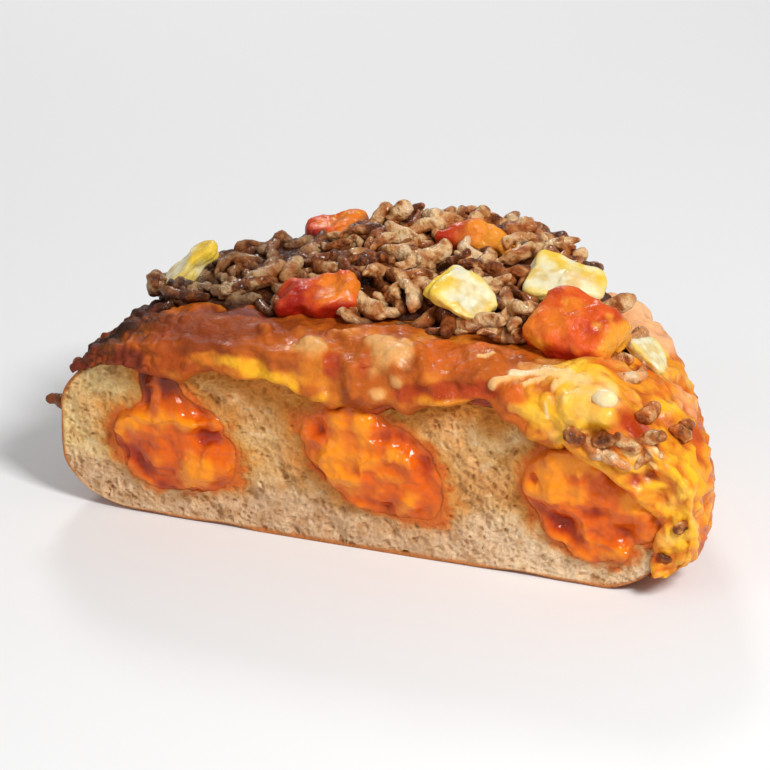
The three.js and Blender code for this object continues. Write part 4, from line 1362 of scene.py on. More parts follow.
@dataclass(frozen=True)
class Bread:
    """The half loaf: an open crumb on the cut face and a thin baked crust round it."""

    base_cells: int = 270
    side_cells: int = 136
    turns: int = 64

    def crust_point(self, angle: Array, station: Array) -> Array:
        """A point of the crust: the loaf's skin, dented on its side and lifted at its foot."""
        points = LOAF.skin(angle, station, 0.0)
        x, y, z = np.moveaxis(points, -1, 0)
        side = ease(station, 1.0, 1.3) * (1 - ease(station, 3.7, 3.95))
        dent = 0.5 * side * (0.5 + 0.5 * lumps(x, y, z, 16, 1.3))
        dent = dent + 0.25 * side * (0.5 + 0.5 * noise(points, 4.0, 3))
        keep = 1 - dent / np.maximum(np.hypot(x, y), 1e-6)
        foot = ease(station, 0.25, 0.6) * (1 - ease(station, 1.6, 2.2)) * (1 - ease(y, 2, 14))
        lift = 1.1 * foot * (0.5 + 0.5 * noise(points * np.array([1, 1, 0]), 9.0, 4))
        return xyz(x * keep, y * keep, z + lift)

    def stations(self) -> tuple[Array, Array, Array]:
        """Stations evenly spaced along the profile, for the underside, the side and the top."""
        fine = np.linspace(0, 5, 4001)
        way = way_along(LOAF.skin(np.zeros_like(fine), fine, 0.0))
        marks = np.interp([0, 1.5, 3.5, 5], fine, way)
        counts = (self.base_cells, self.side_cells, self.base_cells)
        parts = zip(marks[:-1], marks[1:], counts)
        return tuple(np.interp(np.linspace(a, b, n + 1), way, fine) for a, b, n in parts)

    def build(self) -> Surface:
        """The cut face as a Coons patch inside the outline, and the crust turned round behind it.

        A Coons patch adds the two straight blends between opposite edges and takes away the blend
        of the four corners. Every second point of the face's edge is one of the crust's.
        """
        base, side, top = self.stations()
        right = [self.crust_point(np.zeros_like(s), s) for s in (base, side, top)]
        left = [self.crust_point(np.full_like(s, np.pi), s) for s in (base, side, top)]
        bottom = np.concatenate([left[0][::-1], right[0][1:]])
        upper = np.concatenate([left[2], right[2][::-1][1:]])
        u = np.linspace(0, 1, len(bottom))[None, :, None]
        v = np.linspace(0, 1, len(side))[:, None, None]
        rows = mix(left[1][:, None], right[1][:, None], u) + mix(bottom[None], upper[None], v)
        face = rows - mix(mix(bottom[0], bottom[-1], u), mix(upper[0], upper[-1], u), v)
        face[..., 1] = self._depth(face)
        snap_u = np.arange(len(bottom)) // 2 * 2
        snap_v = np.arange(len(side)) // 2 * 2
        face[0], face[-1] = bottom[snap_u], upper[snap_u]
        face[:, 0], face[:, -1] = left[1][snap_v], right[1][snap_v]
        free = np.ones(face.shape[:2])
        free[[0, -1]], free[:, [0, -1]] = 0, 0
        surface = Surface()
        surface.add(face, free)
        profile = np.concatenate([base[::2], side[2::2], top[2::2]])[:, None]
        angle = np.linspace(0, np.pi, self.turns + 1)[None, :]
        surface.add(self.crust_point(*np.broadcast_arrays(angle, profile)), 0.0)
        return surface.weld("baked_loaf")

    def _depth(self, face: Array) -> Array:
        """How far behind y = 0 each place of the face lies: relief, pores and the pockets' wells."""
        x, z = face[..., 0], face[..., 2]
        rows, columns = x.shape
        from_edge = 0.25 * np.minimum(
            np.minimum(np.arange(rows), np.arange(rows)[::-1])[:, None],
            np.minimum(np.arange(columns), np.arange(columns)[::-1])[None, :],
        )
        around = np.min([pocket.inside(x, z) for pocket in POCKETS], axis=0)
        level = mix(-0.35, self._relief(x, z), ease(around, 1.0, 1.25))
        depth = (level + self._pores(x, z) * ease(around, 1.0, 1.15)) * ease(from_edge, 0, 1.2)
        for pocket in POCKETS:
            depth = depth + pocket.well(x, z) * ease(from_edge, 0, 0.7)
        return depth

    @staticmethod
    def _relief(x: Array, z: Array) -> Array:
        """The cut's broad unevenness, as a depth."""
        flat = xyz(x, 0.0, z)
        return 0.45 * lumps(x, 3.0, z, 11, 0.9) + 0.3 * noise(flat, 3.4, 1)

    @staticmethod
    def _pores(x: Array, z: Array) -> Array:
        """The depth of the crumb's pores: cells of noise with thin walls, and a few larger holes.

        A pore is as deep as its cell's number says, and its wall rises where the two nearest spots
        are equally near.
        """
        flat = xyz(x, 0.0, z)
        bent = flat + 0.35 * xyz(noise(flat, 2.6, 8), 0.0, noise(flat, 2.6, 9))
        near, second, key = cells(bent, 1.55, 2)
        pores = 0.65 * (0.15 + 0.85 * key) * ease(second - near, 0.05, 0.7)
        near, second, key = cells(bent, 0.9, 5)
        small = 0.35 * key * ease(second - near, 0.05, 0.45)
        near, _, key = cells(bent, 4.4, 6)
        holes = np.where(key > 0.6, 0.9, 0.0) * np.maximum(0, 1 - (near / mix(0.9, 1.7, key)) ** 2)
        return pores + small + holes

    def dress(self) -> Object:
        """Colours the crumb pale, paints shade into its pores by their depth, colours its stains
        orange, and bakes the crust.
        """
        surface = self.build()
        p = surface.points
        x, y, z = p.T
        face = surface.freedom > 0.5
        flat = xyz(x, 0.0, z)
        tone, mottle = fractal(flat, 9.0, 15), fractal(flat, 1.8, 12, 2)
        warm = 0.85 * bell(x, 8, 44) * ease(z, 5, 14) + 0.5 * tone
        low = 1 - ease(z + 3 * tone, 7, 14)
        around = np.min([pocket.inside(x, z) for pocket in POCKETS], axis=0)
        # Painted shade in the pores: the deeper a pore, the darker it is painted.
        pore_shade = ease(self._pores(x, z), 0.3, 1.6) * ease(around, 1.0, 1.15)
        around = around + 0.13 * noise(flat, 4.0, 16) + 0.08 * noise(flat, 1.5, 17)
        oily = (1 - ease(around, 1.0, 1.42)) * mix(0.25, 0.8, ease(z, 5, 15))
        under_cheese = ease(z + 2.5 * noise(flat, 5.0, 18), 27, 34) * ease(x, -54, -44)
        drape = x - MeltedCheese.drape_edge(z) + 1.5 * noise(flat, 4.0, 19)
        colours = coated(
            Shade.CRUMB_PALE.rgb,
            (Shade.CRUMB_WARM, warm),
            (Shade.CRUMB_PINK, low * 0.85),
            (Shade.CRUMB_LIT, low * ease(x, 10, 45) * 0.6),
            (Shade.CRUMB_MOTTLE_AND_PORE_SHADE, pore_shade * mix(0.5, 0.85, np.clip(warm, 0, 1))),
            (Shade.CRUMB_MOTTLE_AND_PORE_SHADE, ease(mottle, 0.15, 0.8) * 0.4),
            (Shade.CRUMB_LIT, ease(-mottle, 0.15, 0.8) * 0.4),
            (Shade.OIL_STAIN, oily),
            (Shade.SAUCE_STAIN, (1 - ease(around, 0.98, 1.16)) * 0.85),
            (Shade.OIL_STAIN, under_cheese * 0.8),
            (Shade.OIL_STAIN, ease(drape, -6, 0) * ease(z, 12, 20) * 0.8),
        )
        rim = LOAF.radius + LOAF.rim_wave(np.arctan2(y, x))
        baked = (0.5 + 0.5 * fractal(p, 9.0, 20)) * ease(np.hypot(x, y) / rim, 0.8, 1)
        crust = mix(Shade.CRUST.rgb, Shade.CRUST_DARK.rgb, baked[:, None])
        shell = np.where(face, self._near_crust(x, z) * 0.8, 1.0)
        colours = mix(colours, crust, shell[:, None])
        wet = np.where(face, (1 - ease(around, 1.0, 1.2)) * 0.7, 0.25)
        return finished_piece(surface, colours, wet, CRUMB_FINISH, ("bread",))

    @staticmethod
    def _near_crust(x: Array, z: Array) -> Array:
        """1 on the cut face's lower and outer edge, fading out over about a millimetre."""
        station = np.linspace(0, 4, 400)
        near = np.full(x.shape, 9.0)
        for angle in (0.0, np.pi):
            line = LOAF.skin(np.full_like(station, angle), station, -0.3)
            for start in range(0, len(x), 20000):
                part = slice(start, start + 20000)
                away = np.hypot(x[part, None] - line[:, 0], z[part, None] - line[:, 2])
                near[part] = np.minimum(near[part], away.min(axis=1))
        return 1 - ease(near, 0.2, 1.0)


# --- minced beef


@dataclass
class Strands:
    """Short bent worms of mince, as arrays with one row for each strand."""

    centre: Array
    heading: Array
    rise: Array
    length: Array
    radius: Array
    bend: Array
    rows: int = 15
    sides: int = 10

    def points(self) -> Array:
        """Sweeps a ring along an arc for each strand.

        The middle line is straight along the heading plus a parabola to one side. The ring's radius
        is rounded off to nothing at both ends and swells and shrinks along the strand.
        """
        along = unit(xyz(np.cos(self.heading), np.sin(self.heading), self.rise))
        across = unit(xyz(-along[:, 1], along[:, 0], 0.0))
        up = np.cross(along, across)
        share = (1 - np.cos(np.linspace(0, np.pi, self.rows))) / 2
        share = mix(share, np.linspace(0, 1, self.rows), 0.5)
        spin = np.linspace(0, 2 * np.pi, self.sides + 1)[:-1]
        t = share[None, :, None]
        number = np.arange(len(self.heading))[:, None, None]
        swell = 1 + 0.1 * np.sin(7 * t + 2.4 * number) + 0.06 * np.sin(17 * t + 1.3 * number)
        ring = self.radius[:, None, None] * swell * np.sqrt(np.maximum(0, 1 - np.abs(2 * t - 1) ** 3.5))
        side = self.bend[:, None, None] * ((2 * t - 1) ** 2 - 0.35) + ring * np.cos(spin)
        above = ring * np.sin(spin) + 0.06 * self.length[:, None, None] * np.sin(3.0 * t + number)
        line = (t - 0.5) * self.length[:, None, None] * np.ones_like(side)
        place = line[..., None] * along[:, None, None] + side[..., None] * across[:, None, None]
        return self.centre[:, None, None] + place + above[..., None] * up[:, None, None]


def beef_colours(points: Array, depth: Array, tone: Array, high: Array, seed: int) -> Array:
    """Browned beef: each strand has its own tone, and hollows and the gaps deep in the heap get painted
    shade.

    Args:
        points: places, in millimetres.
        depth: how deep in the heap each one lies, which sets its painted shade.
        tone: its strand's lightness, from 0 to 1.
        high: how far it stands out of its strand's plain surface, which paints it lighter as painted
            light, and its pits darker as painted shade.
        seed: which noise makes the browning uneven.

    Returns:
        A screen colour for each point.
    """
    grain = 0.6 * fractal(points, 1.5, seed, 3) + 0.25 * noise(points, 5.0, seed + 9)
    # Painted light and shade: what stands out of a strand is painted lighter and its pits darker, over
    # its own tone and grain.
    light = 0.85 * tone - 0.18 + grain + 0.7 * high
    burnt = ease(-points[:, 0], 4, 44) * (0.4 + 0.5 * ease(fractal(points, 7.0, seed + 12), -0.1, 0.4))
    return coated(
        Shade.BEEF.rgb,
        (Shade.BEEF_LIGHT, ease(light, 0.1, 0.55)),
        # Pale specks of the beef, and painted highlights where it stands out.
        (Shade.BEEF_PALE_AND_HIGHLIGHT, ease(light, 0.6, 1.0) * 0.7),
        (Shade.BEEF_DARK_AND_SHADE, ease(-light, -0.15, 0.25) * 0.9),
        (Shade.BEEF_GLAZE, ease(noise(points, 3.6, seed + 11), 0, 0.6) * 0.5),
        # Painted shade: the deeper a point lies in the heap, the darker it is painted.
        (Shade.BEEF_DARK_AND_SHADE, ease(depth, 0.2, 2.4) * 0.92),
        (Shade.CHAR, burnt * 0.8),
    )



@dataclass
class MinceHeap:
    """The heap of minced beef on the cheese: a core, painted dark as the shade between the strands, and
    some hundreds of strands on it.
    """

    middle: Pair = (-1.0, 35.0)
    core_height: float = 6.6
    strand_radius: float = 1.6
    dice: list["Die"] = field(default_factory=list)

    STANDING_OUT = (
        (-27.5, 25, 1.6, 48, 0.15, 10.5, 1.9, 0.8),
        (-3, 17, 1.4, -28, -0.1, 10, 1.8, 0.6),
        (-5.4, 15, 0.4, 20, 0, 3.6, 1.5, 0.2),
        (4.2, 35, 2.2, 55, 0.15, 11, 2, 0.8),
        (4.6, 21, 2, -52, -0.42, 13, 1.7, -2.2),
        (27, 15.6, 0.8, -14, -0.1, 9, 1.7, 0.8),
        (28.5, 19.5, 1.4, 20, 0.15, 8.5, 1.8, -0.8),
        (-51.4, 22, 1.6, 100, 1.4, 5.6, 1.9, 0.6),
        (-44, 21.5, 0.2, -10, 0.1, 7.5, 1.7, 0.6),
        (-33, 19, 0.8, -20, 0, 6, 1.8, 0.5),
        (-40, 18, 0.4, 30, 0.1, 6, 1.7, -0.5),
        (50.5, 25.5, 1.2, 70, 0.2, 6.5, 1.9, 0.6),
        (45, 31, 2, 20, 0.1, 8, 1.6, 1.6),
        (-12.5, 50, 3.2, 60, 1.1, 9, 1.8, 0.4),
        (-8, 50, 4.2, 15, 1.5, 6, 1.9, 0),
        (0.3, 52, 3.6, 0, 0.1, 8, 2.5, 2.4),
        (8.7, 53, 2.6, 60, 0.3, 5.5, 2, 0),
        (17.6, 51, 2.8, 20, 0, 7, 2.3, 1.5),
    )

    def reach(self, direction: Array) -> Array:
        """How far the outline is from the middle: a soft minimum of the front line and the rim."""
        dx, dy = np.cos(direction), np.sin(direction)
        front = np.where(dy < -0.02, (self.middle[1] - 15) / np.maximum(-dy, 0.02), np.inf)
        along = self.middle[0] * dx + self.middle[1] * dy
        rim = -along + np.sqrt(along**2 - self.middle[0] ** 2 - self.middle[1] ** 2 + 64.5**2)
        waves = 1 + 0.035 * np.sin(9 * direction) + 0.03 * np.sin(14 * direction + 1)
        return waves / ((1 / front) ** 5 + (1 / rim) ** 5) ** 0.2

    def inward(self, x: Array, y: Array) -> Array:
        """How far in from the outline a place is: 1 in the middle, 0 at the edge."""
        dx, dy = x - self.middle[0], y - self.middle[1]
        return 1 - np.hypot(dx, dy) / self.reach(np.arctan2(dy, dx))

    def height(self, x: Array, y: Array) -> Array:
        """The core's height: lower over the left-hand end, rising from the front to the back."""
        swell = 1 + 0.2 * lumps(x, y, 0.0, 15, 1.1)
        along = mix(0.12, 1.2, ease(x, -54, 14)) * mix(1, 0.7, ease(x, 24, 44))
        backwards = mix(0.45, 1, ease(y, 15, 46))
        slope = mix(0.34, 0.14, ease(y, 22, 36))
        low = np.clip((self.inward(x, y) + 0.02) / (slope + 0.02), 0, 1)
        return self.core_height * swell * along * backwards * low * low * (3 - 2 * low)

    def top(self, x: Array, y: Array) -> Array:
        """The height of the core's upper side above a place."""
        return LOAF.cheese_top(x, y) + self.height(x, y)

    def _core(self, surface: Surface) -> None:
        """Adds the core: a sheet in rings round the heap's middle, and its underside."""
        turn = np.linspace(0, 2 * np.pi, 181)[None, :-1]
        out = np.concatenate([np.linspace(0, 1, 46), np.linspace(1, 0, 8)[1:]])[:, None]
        reach = self.reach(turn) * out**0.8
        drawn_in = 3.0 + 9.0 * ease(np.cos(turn), 0.8, 0.97) + 3.0 * ease(np.sin(turn), 0.3, 0.9)
        reach = reach - drawn_in * out
        x, y = self.middle[0] + reach * np.cos(turn), self.middle[1] + reach * np.sin(turn)
        over = np.arange(len(out))[:, None] < 46
        z = LOAF.cheese_top(x, y) + np.where(over, self.height(x, y) - 0.5, -1.0)
        z = np.where(out == 1, LOAF.cheese_top(x, y) - 0.6, z)
        surface.add(xyz(x, y, z), np.where(over, 1.0, 0.0), True)

    def _scatter(self, spacing: float, lift: Pair, seed: int) -> Strands:
        """Spreads strands over the heap, clear of the dice.

        Args:
            spacing: the step of the staggered grid that they stand on before they are jittered.
            lift: the least and the greatest height of their middles above the core.
            seed: which random numbers turn, size and bend them.

        Returns:
            The strands. Those at the back lie along the heap's rim.
        """
        random = np.random.default_rng(seed)
        y, x = np.mgrid[13 : 64 : spacing * 0.87, -64 : 62 : spacing]
        x = x + (np.arange(len(x)) % 2)[:, None] * spacing / 2
        x, y = (a.ravel() + random.uniform(-0.4, 0.4, a.size) * spacing for a in (x, y))
        inside = self.inward(x, y) > random.uniform(-0.05, 0.05, len(x))
        right = (x > 44) & (y < 26) | (x + 0.35 * np.maximum(0, y - 26) > 46.5)
        kept = inside & ~right & (x + 0.36 * y >= -42.5)
        x, y = x[kept], y[kept]
        count = len(x)
        heading = random.uniform(0, np.pi, count)
        along_rim = np.arctan2(y - self.middle[1], x - self.middle[0]) + np.pi / 2
        behind = ease(0.32 - self.inward(x, y), 0, 0.2) * ease(y, 34, 42)
        heading = mix(heading, along_rim + 0.25 * (heading - np.pi / 2), behind)
        length = random.uniform(2.3, 3.7, count) ** 2
        z = self.top(x, y) + random.uniform(*lift, count)
        z = z - 1.8 * ease(-x, 8, 44) - 3 * ease(x + 0.4 * y, 46, 56)
        centre = xyz(x, y, z)
        rise = random.uniform(-0.4, 0.45, count)
        arm = 0.35 * length[:, None] * xyz(np.cos(heading), np.sin(heading), rise)
        clear = np.ones(count, bool)
        for die in self.dice:
            for spot in (centre, centre + arm, centre - arm):
                clear &= die.inside(spot, self) > 1.02
        radius = self.strand_radius * random.uniform(0.72, 1.08, count)
        bend = random.uniform(-0.42, 0.42, count) * length
        return Strands(*(values[clear] for values in (centre, heading, rise, length, radius, bend)))

    def _placed(self) -> Strands:
        """The strands that stand out at the heap's front, left end and upper edge."""
        x, y, lift, heading, rise, length, radius, bend = np.array(self.STANDING_OUT).T
        centre = xyz(x, y, self.top(x, y) + lift)
        return Strands(centre, np.radians(heading), rise, length, radius, bend, 25, 16)

    def dress(self, upper: bool) -> Object:
        """Builds strands, darkens them as painted shade by how deep they lie, and makes them crumbly.

        Args:
            upper: the upper strands, or else the core and the lower ones.

        Returns:
            The piece.
        """
        surface = Surface()
        if upper:
            surface.add(self._placed().points(), 1.0, True, marks=0.75)
        else:
            self._core(surface)
        layers = ((6.2, (0.3, 1.7), 4), (8.4, (1.2, 2.5), 5)) if upper else ((5.0, (-0.9, 0.1), 3),)
        for spacing, lift, seed in layers:
            strands = self._scatter(spacing, lift, seed)
            strands.rows, strands.sides = (24, 15) if upper else (15, 10)
            batch = strands.points()
            tone = hashed(np.arange(len(batch))[:, None] * np.array([1, 7, 13]), seed)
            surface.add(batch, 1.0, True, marks=tone[:, None, None])
        surface.weld("browned_mince" if upper else "browned_mince_below")
        p = surface.points
        bend = 0.4 * np.stack([noise(p, 3.0, 36 + i) for i in range(3)], -1)
        surface.points = p + bend * surface.freedom[:, None]
        p = surface.points
        high = 0.28 * fractal(p, 1.2, 41, 2) + 0.15 * noise(p, 2.6, 42)
        surface.push(high)
        # Painted shade: how far below the heap's top a point lies; the core lies deepest and is painted
        # darkest.
        depth = self.top(p[:, 0], p[:, 1]) + 1.6 - p[:, 2]
        colours = beef_colours(p, depth, surface.marks, high, 43)
        wet = 0.65 + 0.7 * fractal(p, 2.4, 47)
        return finished_piece(surface, colours, wet, BEEF_FINISH, ("beef_mince",))


LOOSE_ON_CUT = (
    (47.6, 34.2, 20, -0.4, 4.6, 1.6, 0.5, 0.6),
    (50.6, 32.4, -10, -0.8, 6.4, 1.2, 0.8, 0),
    (53.8, 34.6, 10, 0.4, 5.6, 1.5, -0.8, 0.6),
    (57.4, 34.2, 0, -0.3, 6.6, 1.4, 1, 0.1),
    (61.8, 35.2, 5, 0.3, 6.8, 1.35, -1, 0.4),
    (55.4, 30.6, -15, -0.5, 7.2, 1.15, 0.9, 0),
    (61.2, 30.4, 10, 0.5, 6.8, 1.15, -1.1, 0.1),
    (65.8, 33.2, 30, -0.4, 5.4, 1.3, 0.6, 0.5),
    (68.4, 17, 60, 0.8, 4.4, 1, 0.5, 0.8),
    (65.4, 9.4, 40, -0.5, 4, 0.9, 0.5, 0.8),
)
LOOSE_ON_TOP = (
    (54.6, 10.2, 60, 0, 9.5, 1.25, 3.4, 0.2),
    (59.8, 3.4, 80, -0.25, 6.6, 1.7, 0.8, 0.7),
    (50.4, 14.4, 10, 0, 5.6, 1.4, 0.7, 0.5),
    (47.6, 28.6, 40, 0.1, 7, 1.7, 1.2, 0.3),
    (51.6, 22.6, 100, -0.1, 6, 1.6, 0.8, 0.6),
    (66.4, 8, 70, -0.4, 4.6, 1.1, 0.7, 0.7),
)


def loose_beef(cheese: MeltedCheese) -> Object:
    """Crumbs of beef that lie on the cheese at the right-hand end, beside the heap."""
    rows = np.array(LOOSE_ON_CUT + LOOSE_ON_TOP)
    x, across, heading, rise, length, radius, bend, dark = rows.T
    centre = cheese.rest_on(x, across, np.arange(len(rows)) < len(LOOSE_ON_CUT), 0.2)
    surface = Surface()
    bits = Strands(centre, np.radians(heading), rise, length, radius, bend, 27, 18)
    surface.add(bits.points(), 1.0, True, marks=1 - dark[:, None, None])
    surface.weld("loose_beef")
    high = 0.45 * fractal(surface.points, 1.7, 51, 3)
    surface.push(high)
    colours = beef_colours(surface.points, 0 * high, surface.marks, high, 53)
    colours = blend(colours, Shade.ORANGE, 0.45 * ease(noise(surface.points, 2.5, 55), -0.3, 0.5))
    return finished_piece(surface, colours, 0.7, BEEF_FINISH, ())


def baked_on_bits() -> Object:
    """Two browned crumbs that are baked on to the crust at the left-hand end."""
    centre = np.array([[-65.4, 2.6, 21], [-61.6, 6, 28.2]])
    heading, rise = np.radians([165, 150]), np.array([0.1, 0.5])
    length, radius, bend = np.array([5.5, 4.5]), np.array([1.4, 1.3]), np.array([0.8, -0.5])
    bits = Strands(centre, heading, rise, length, radius, bend, 25, 18)
    surface = Surface()
    surface.add(bits.points(), 1.0, True)
    surface.weld("baked_on_bits")
    surface.push(0.25 * fractal(surface.points, 1.4, 57, 2))
    tone = 0.5 + 0.5 * fractal(surface.points, 2.0, 58)
    colours = coated(Shade.CRUST_DARK.rgb, (Shade.CRUST, tone * 0.6))
    return finished_piece(surface, colours, 0.4, BEEF_FINISH, ())


# --- dice


class Food(Enum):
    """What a die is cut from."""

    TOMATO = "tomato"
    ONION = "onion"


@dataclass(frozen=True)
class Die:
    """A cooked die of tomato or onion, sunk into the heap. Sizes in millimetres, turns in degrees.

    An onion turns yellow towards one side, and glassy brown towards the opposite one.
    """

    name: str
    at: Triple
    size: Triple
    turn: Triple
    seed: int
    patches: tuple[Patch, ...] = ()
    yellow: Triple = (0.0, 0.0, 1.0)

    LEAVES = {
        Food.TOMATO: ((0, (0.0, 0.0, 0.0)),),
        Food.ONION: ((0, (0.0, 0.0, -0.2)), (1, (0.06, -0.05, 0.14))),
    }

    @property
    def food(self) -> Food:
        """Tomato or onion, from the die's name."""
        return Food.TOMATO if self.name.startswith("tomato") else Food.ONION

    def centre(self, heap: MinceHeap) -> Array:
        """The die's middle: its place in plan, and its lift above the heap's core."""
        x, y, lift = self.at
        return np.array([x, y, float(heap.top(np.array(x), np.array(y))) + lift])

    def inside(self, points: Array, heap: MinceHeap) -> Array:
        """How far out points are from the die: 1 on its surface."""
        local = (points - self.centre(heap)) @ rotation(self.turn)
        power, half = self._form()
        return np.sum(np.abs(local / half) ** power, axis=-1) ** (1 / power)

    def _form(self) -> tuple[float, Array]:
        """The superellipsoid's power and half-sizes."""
        if self.food is Food.TOMATO:
            return 4.0, 0.53 * np.array(self.size)
        return 5.0, np.array([0.48, 0.48, 0.24]) * np.array(self.size)

    def build(self, heap: MinceHeap) -> Surface:
        """A superellipsoid, whose powers of the coordinates add up to 1, bent if it is a leaf.

        The grid runs in latitude and longitude, and each direction is scaled out to the surface.
        """
        power, half = self._form()
        out = unit_ball(61, 90)
        out = out * np.abs(out) ** 0.25
        ball = out / (np.sum(np.abs(out) ** power, axis=-1) ** (1 / power))[..., None]
        surface = Surface()
        for side, shift in self.LEAVES[self.food]:
            local = ball * half + np.array(shift) * np.array(self.size)
            if self.food is Food.ONION:
                share = ball[..., 0] / 2
                local[..., 1] *= 1 - 0.5 * share
                local[..., 2] += 2.4 * (0.25 - share**2)
            warped = local + self.centre(heap)
            bend = [noise(warped, 6.0, self.seed + 20 + i + 5 * side) for i in range(3)]
            local = local + 1.2 * np.stack(bend, -1)
            surface.add(local @ rotation(self.turn).T + self.centre(heap), 1.0, True)
        return surface.weld(f"cooked_{self.name}")

    def dress(self, heap: MinceHeap) -> Object:
        """Makes the die's surface uneven and colours it: flesh, skin side, seeds or leaf."""
        surface = self.build(heap)
        p = surface.points
        local = (p - self.centre(heap)) @ rotation(self.turn) / self._form()[1]
        if self.food is Food.TOMATO:
            wrinkle = 0.4 - np.abs(fractal(p, 3.8, self.seed + 1, 2))
            fine = 0.3 * fractal(p, 1.5, self.seed + 4, 2)
            surface.push(1.3 * fractal(p, 5.0, self.seed, 2) + 0.8 * wrinkle + fine)
            tone = fractal(p, 5.0, self.seed + 2)
            near, _, key = cells(p, 3.2, self.seed + 3)
            colours = coated(
                Shade.TOMATO_FLESH.rgb,
                (Shade.TOMATO_RED, ease(tone - 0.25 * local[:, 2], -0.1, 0.55) * 0.9),
                (Shade.TOMATO_ORANGE, ease(-tone, 0.05, 0.5) * 0.9),
                (Shade.TOMATO_SEED, np.where(key > 0.75, 1 - ease(near, 0.6, 1.3), 0) * 0.7),
                (Shade.TOMATO_ORANGE, ease(noise(p, 1.8, self.seed + 5), 0.2, 0.7) * 0.45),
            )
            finish = TOMATO_FINISH
        else:
            vein = fractal(local * np.array([0.6, 4.5, 1.5]), 1.0, self.seed, 2)
            surface.push(0.45 * fractal(p, 3.0, self.seed + 1, 3) + 0.12 * vein)
            tone = fractal(p, 3.0, self.seed + 2)
            rim = np.max(np.abs(local[:, :2]), axis=-1) + 0.3 * tone
            toward = (p - self.centre(heap)) @ np.array(self.yellow) / (0.5 * self.size[0])
            low = -0.5 * toward - 0.5 * local[:, 2] + 0.5 * tone
            colours = coated(
                Shade.ONION_PALE.rgb,
                (Shade.ONION, ease(tone + 0.4 * vein, -0.2, 0.5) * 0.8),
                (Shade.ONION_YELLOW, ease(rim, 0.7, 1.05) * 0.5),
                (Shade.ONION_YELLOW, ease(toward + 0.5 * tone, 0.15, 0.75) * 0.9),
                (Shade.ONION_BROWN, ease(low, 0.2, 0.8) * 0.8),
            )
            finish = ONION_FINISH
        colours = painted(surface.points, colours, self.patches, 70 + self.seed)
        wet = 0.6 + 0.8 * fractal(surface.points, 3.0, self.seed + 6)
        return finished_piece(surface, colours, wet, finish, (self.name,))


FRONT_DIE_PATCHES = from_rows(
    Patch,
    (Shade.TOMATO_ORANGE, -10, 16.5, 49, 6.5, 7, 3),
    (Shade.TOMATO_RED, -18, 15, 45.5, 6.5, 8, 4.5),
    (Shade.TOMATO_RED, -9, 13.5, 44.5, 7, 6, 3, 0.95),
    (Shade.TOMATO_SEED, -15.5, 11.5, 42.6, 3, 4, 1.8),
)
BIG_DIE_PATCHES = from_rows(
    Patch,
    (Shade.TOMATO_SEED, 50, 14, 46, 6, 8, 6.5, 0.9),
    (Shade.TOMATO_SEED, 43, 9, 40, 6, 4, 3, 0.6),
    (Shade.TOMATO_ORANGE, 35, 14, 49, 7, 8, 3.4, 0.8),
    (Shade.TOMATO_RED, 40, 10, 43.5, 7.5, 5, 2.6, 0.9),
    (Shade.TOMATO_SEED, 34.6, 10, 45.3, 2.4, 4, 1.6, 0.9),
)
TOP_DIE_PATCHES = from_rows(
    Patch,
    (Shade.TOMATO_SEED, 15, 44, 52, 8, 8, 5, 0.6),
    (Shade.TOMATO_RED, 5, 43, 51, 5, 5, 4, 0.4),
)
DICE = [
    Die("tomato_dice_front", (-13.5, 17.5, 1), (15, 9, 7.5), (20, -12, 24), 101, FRONT_DIE_PATCHES),
    Die("tomato_dice_big", (40.5, 17, 1.5), (17, 13, 10.5), (24, 10, -14), 102, BIG_DIE_PATCHES),
    Die("tomato_dice_top", (11, 46, 1), (16, 7, 5.5), (8, 9, 6), 103, TOP_DIE_PATCHES),
    Die("tomato_dice_back", (-23, 51.5, 0.2), (13, 8, 5), (-8, -9, 8), 104),
    Die("onion_dice_left", (-47, 29, 1.2), (15, 8, 5), (16, -34, 28), 105, (), (0.6, 0.2, 0.77)),
    Die("onion_dice_middle", (16.5, 19.5, 3.8), (13, 9, 5), (34, 26, -20), 106, (), (-0.95, -0.2, 0.2)),
    Die("onion_dice_right", (33, 33, 2.2), (16, 10, 6), (28, 14, 6), 107, (), (0.1, 0.6, 0.8)),
    Die("onion_dice_rim", (54.5, 22, 1.4), (9, 7, 4.5), (10, 36, -30), 108, (), (0.3, 0.6, -0.7)),
]


# --- the studio


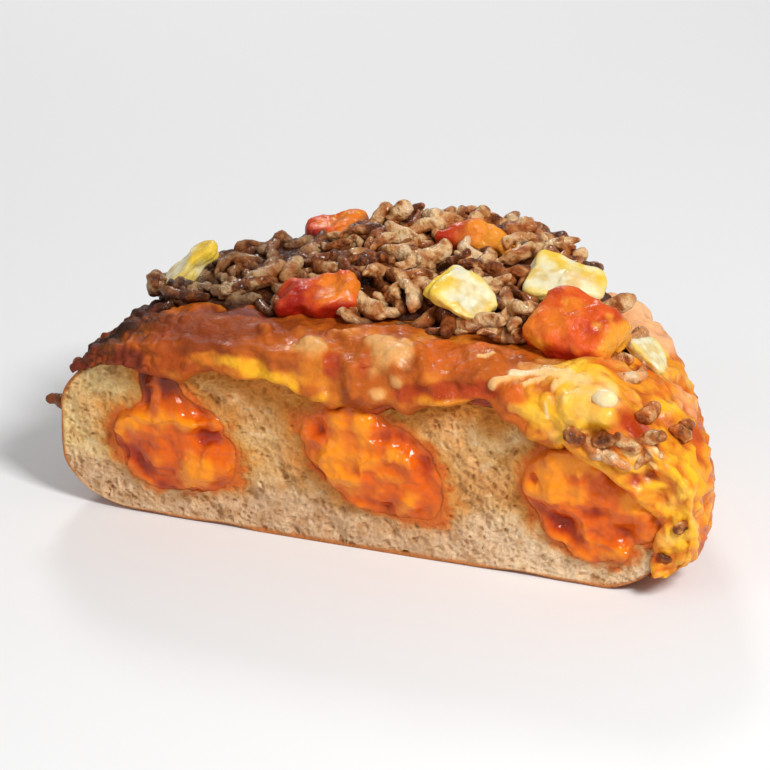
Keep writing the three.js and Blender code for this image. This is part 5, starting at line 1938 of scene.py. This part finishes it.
@dataclass(frozen=True)
class Studio:
    """A plain pale floor, soft lights and a camera at the photographed angle."""

    azimuth: float = 20.0
    elevation: float = 24.0
    distance: float = 0.7
    target: Triple = (-0.005, 0.0, 0.0212)
    lens: float = 3370 / 770 * 36
    sky: float = 0.27

    LIGHTS = (
        ("key_light", (0.5, -0.35, 0.6), 0.2, 6.0),
        ("fill_light", (-0.5, -0.7, 0.45), 0.6, 1.3),
        ("back_light", (-0.3, 0.6, 0.5), 0.15, 1.8),
    )

    def floor(self) -> Object:
        """A wide square sheet at the object's foot."""
        mesh = bpy.data.meshes.new("floor")
        corners = [(-3, -3, 0), (3, -3, 0), (3, 3, 0), (-3, 3, 0)]
        mesh.from_pydata(corners, [], [(0, 1, 2, 3)])
        material = bpy.data.materials.new("floor_finish")
        material.use_nodes = True
        sockets = {"Base Color": (0.86, 0.86, 0.86, 1), "Roughness": 0.9, "Specular IOR Level": 0.1}
        Wiring(material.node_tree).fill(material.node_tree.nodes["Principled BSDF"], sockets)
        mesh.materials.append(material)
        made = bpy.data.objects.new("floor", mesh)
        bpy.context.scene.collection.objects.link(made)
        return made

    def light(self, name: str, place: Triple, size: float, power: float) -> None:
        """A square soft light of a size in metres and a power in watts, aimed at the object."""
        data = bpy.data.lights.new(name, "AREA")
        data.size, data.energy = size, power
        made = bpy.data.objects.new(name, data)
        made.location = place
        aim = Vector(self.target) - Vector(place)
        made.rotation_euler = aim.to_track_quat("-Z", "Y").to_euler()
        bpy.context.scene.collection.objects.link(made)

    def camera(self) -> None:
        """The camera: at a distance from the target along the azimuth and the elevation."""
        a, e = math.radians(self.azimuth), math.radians(self.elevation)
        back = Vector((math.sin(a) * math.cos(e), -math.cos(a) * math.cos(e), math.sin(e)))
        data = bpy.data.cameras.new("camera")
        data.lens, data.sensor_width = self.lens, 36
        data.clip_start, data.clip_end = 0.01, 20
        made = bpy.data.objects.new("camera", data)
        made.location = Vector(self.target) + back * self.distance
        made.rotation_euler = (-back).to_track_quat("-Z", "Y").to_euler()
        bpy.context.scene.collection.objects.link(made)
        bpy.context.scene.camera = made

    def build(self) -> None:
        """Lays the floor, hangs the lights, lights the sky and places the camera."""
        self.floor()
        for light in self.LIGHTS:
            self.light(*light)
        world = bpy.data.worlds.new("studio_sky")
        world.use_nodes = True
        sockets = {"Color": (1, 1, 1, 1), "Strength": self.sky}
        Wiring(world.node_tree).fill(world.node_tree.nodes["Background"], sockets)
        bpy.context.scene.world = world
        bpy.context.scene.view_settings.view_transform = "Standard"
        self.camera()


def main() -> None:
    """Builds the pieces in order and reports each of them."""
    logging.basicConfig(level=logging.INFO, format="%(message)s")
    for make in (uneven_colour_group, fine_relief_group, wetness_group):
        make()
    heap = MinceHeap(dice=DICE)
    cheese = MeltedCheese("melted_cheese", 440, 72, 68, 48, 4)
    sauce = TomatoSauce("tomato_sauce", 240, 8, 24, 12, 4, 4)
    makers = [Bread().dress, *(pocket.dress for pocket in POCKETS), sauce.dress, cheese.dress]
    makers += [cheese.dress_pearl, lambda: heap.dress(False), lambda: heap.dress(True)]
    makers += [lambda: loose_beef(cheese), baked_on_bits]
    makers += [lambda die=die: die.dress(heap) for die in DICE]
    for make in makers:
        piece = make()
        LOG.info("%s is ready", piece.name)
    Studio().build()


if __name__ == "__main__":
    main()
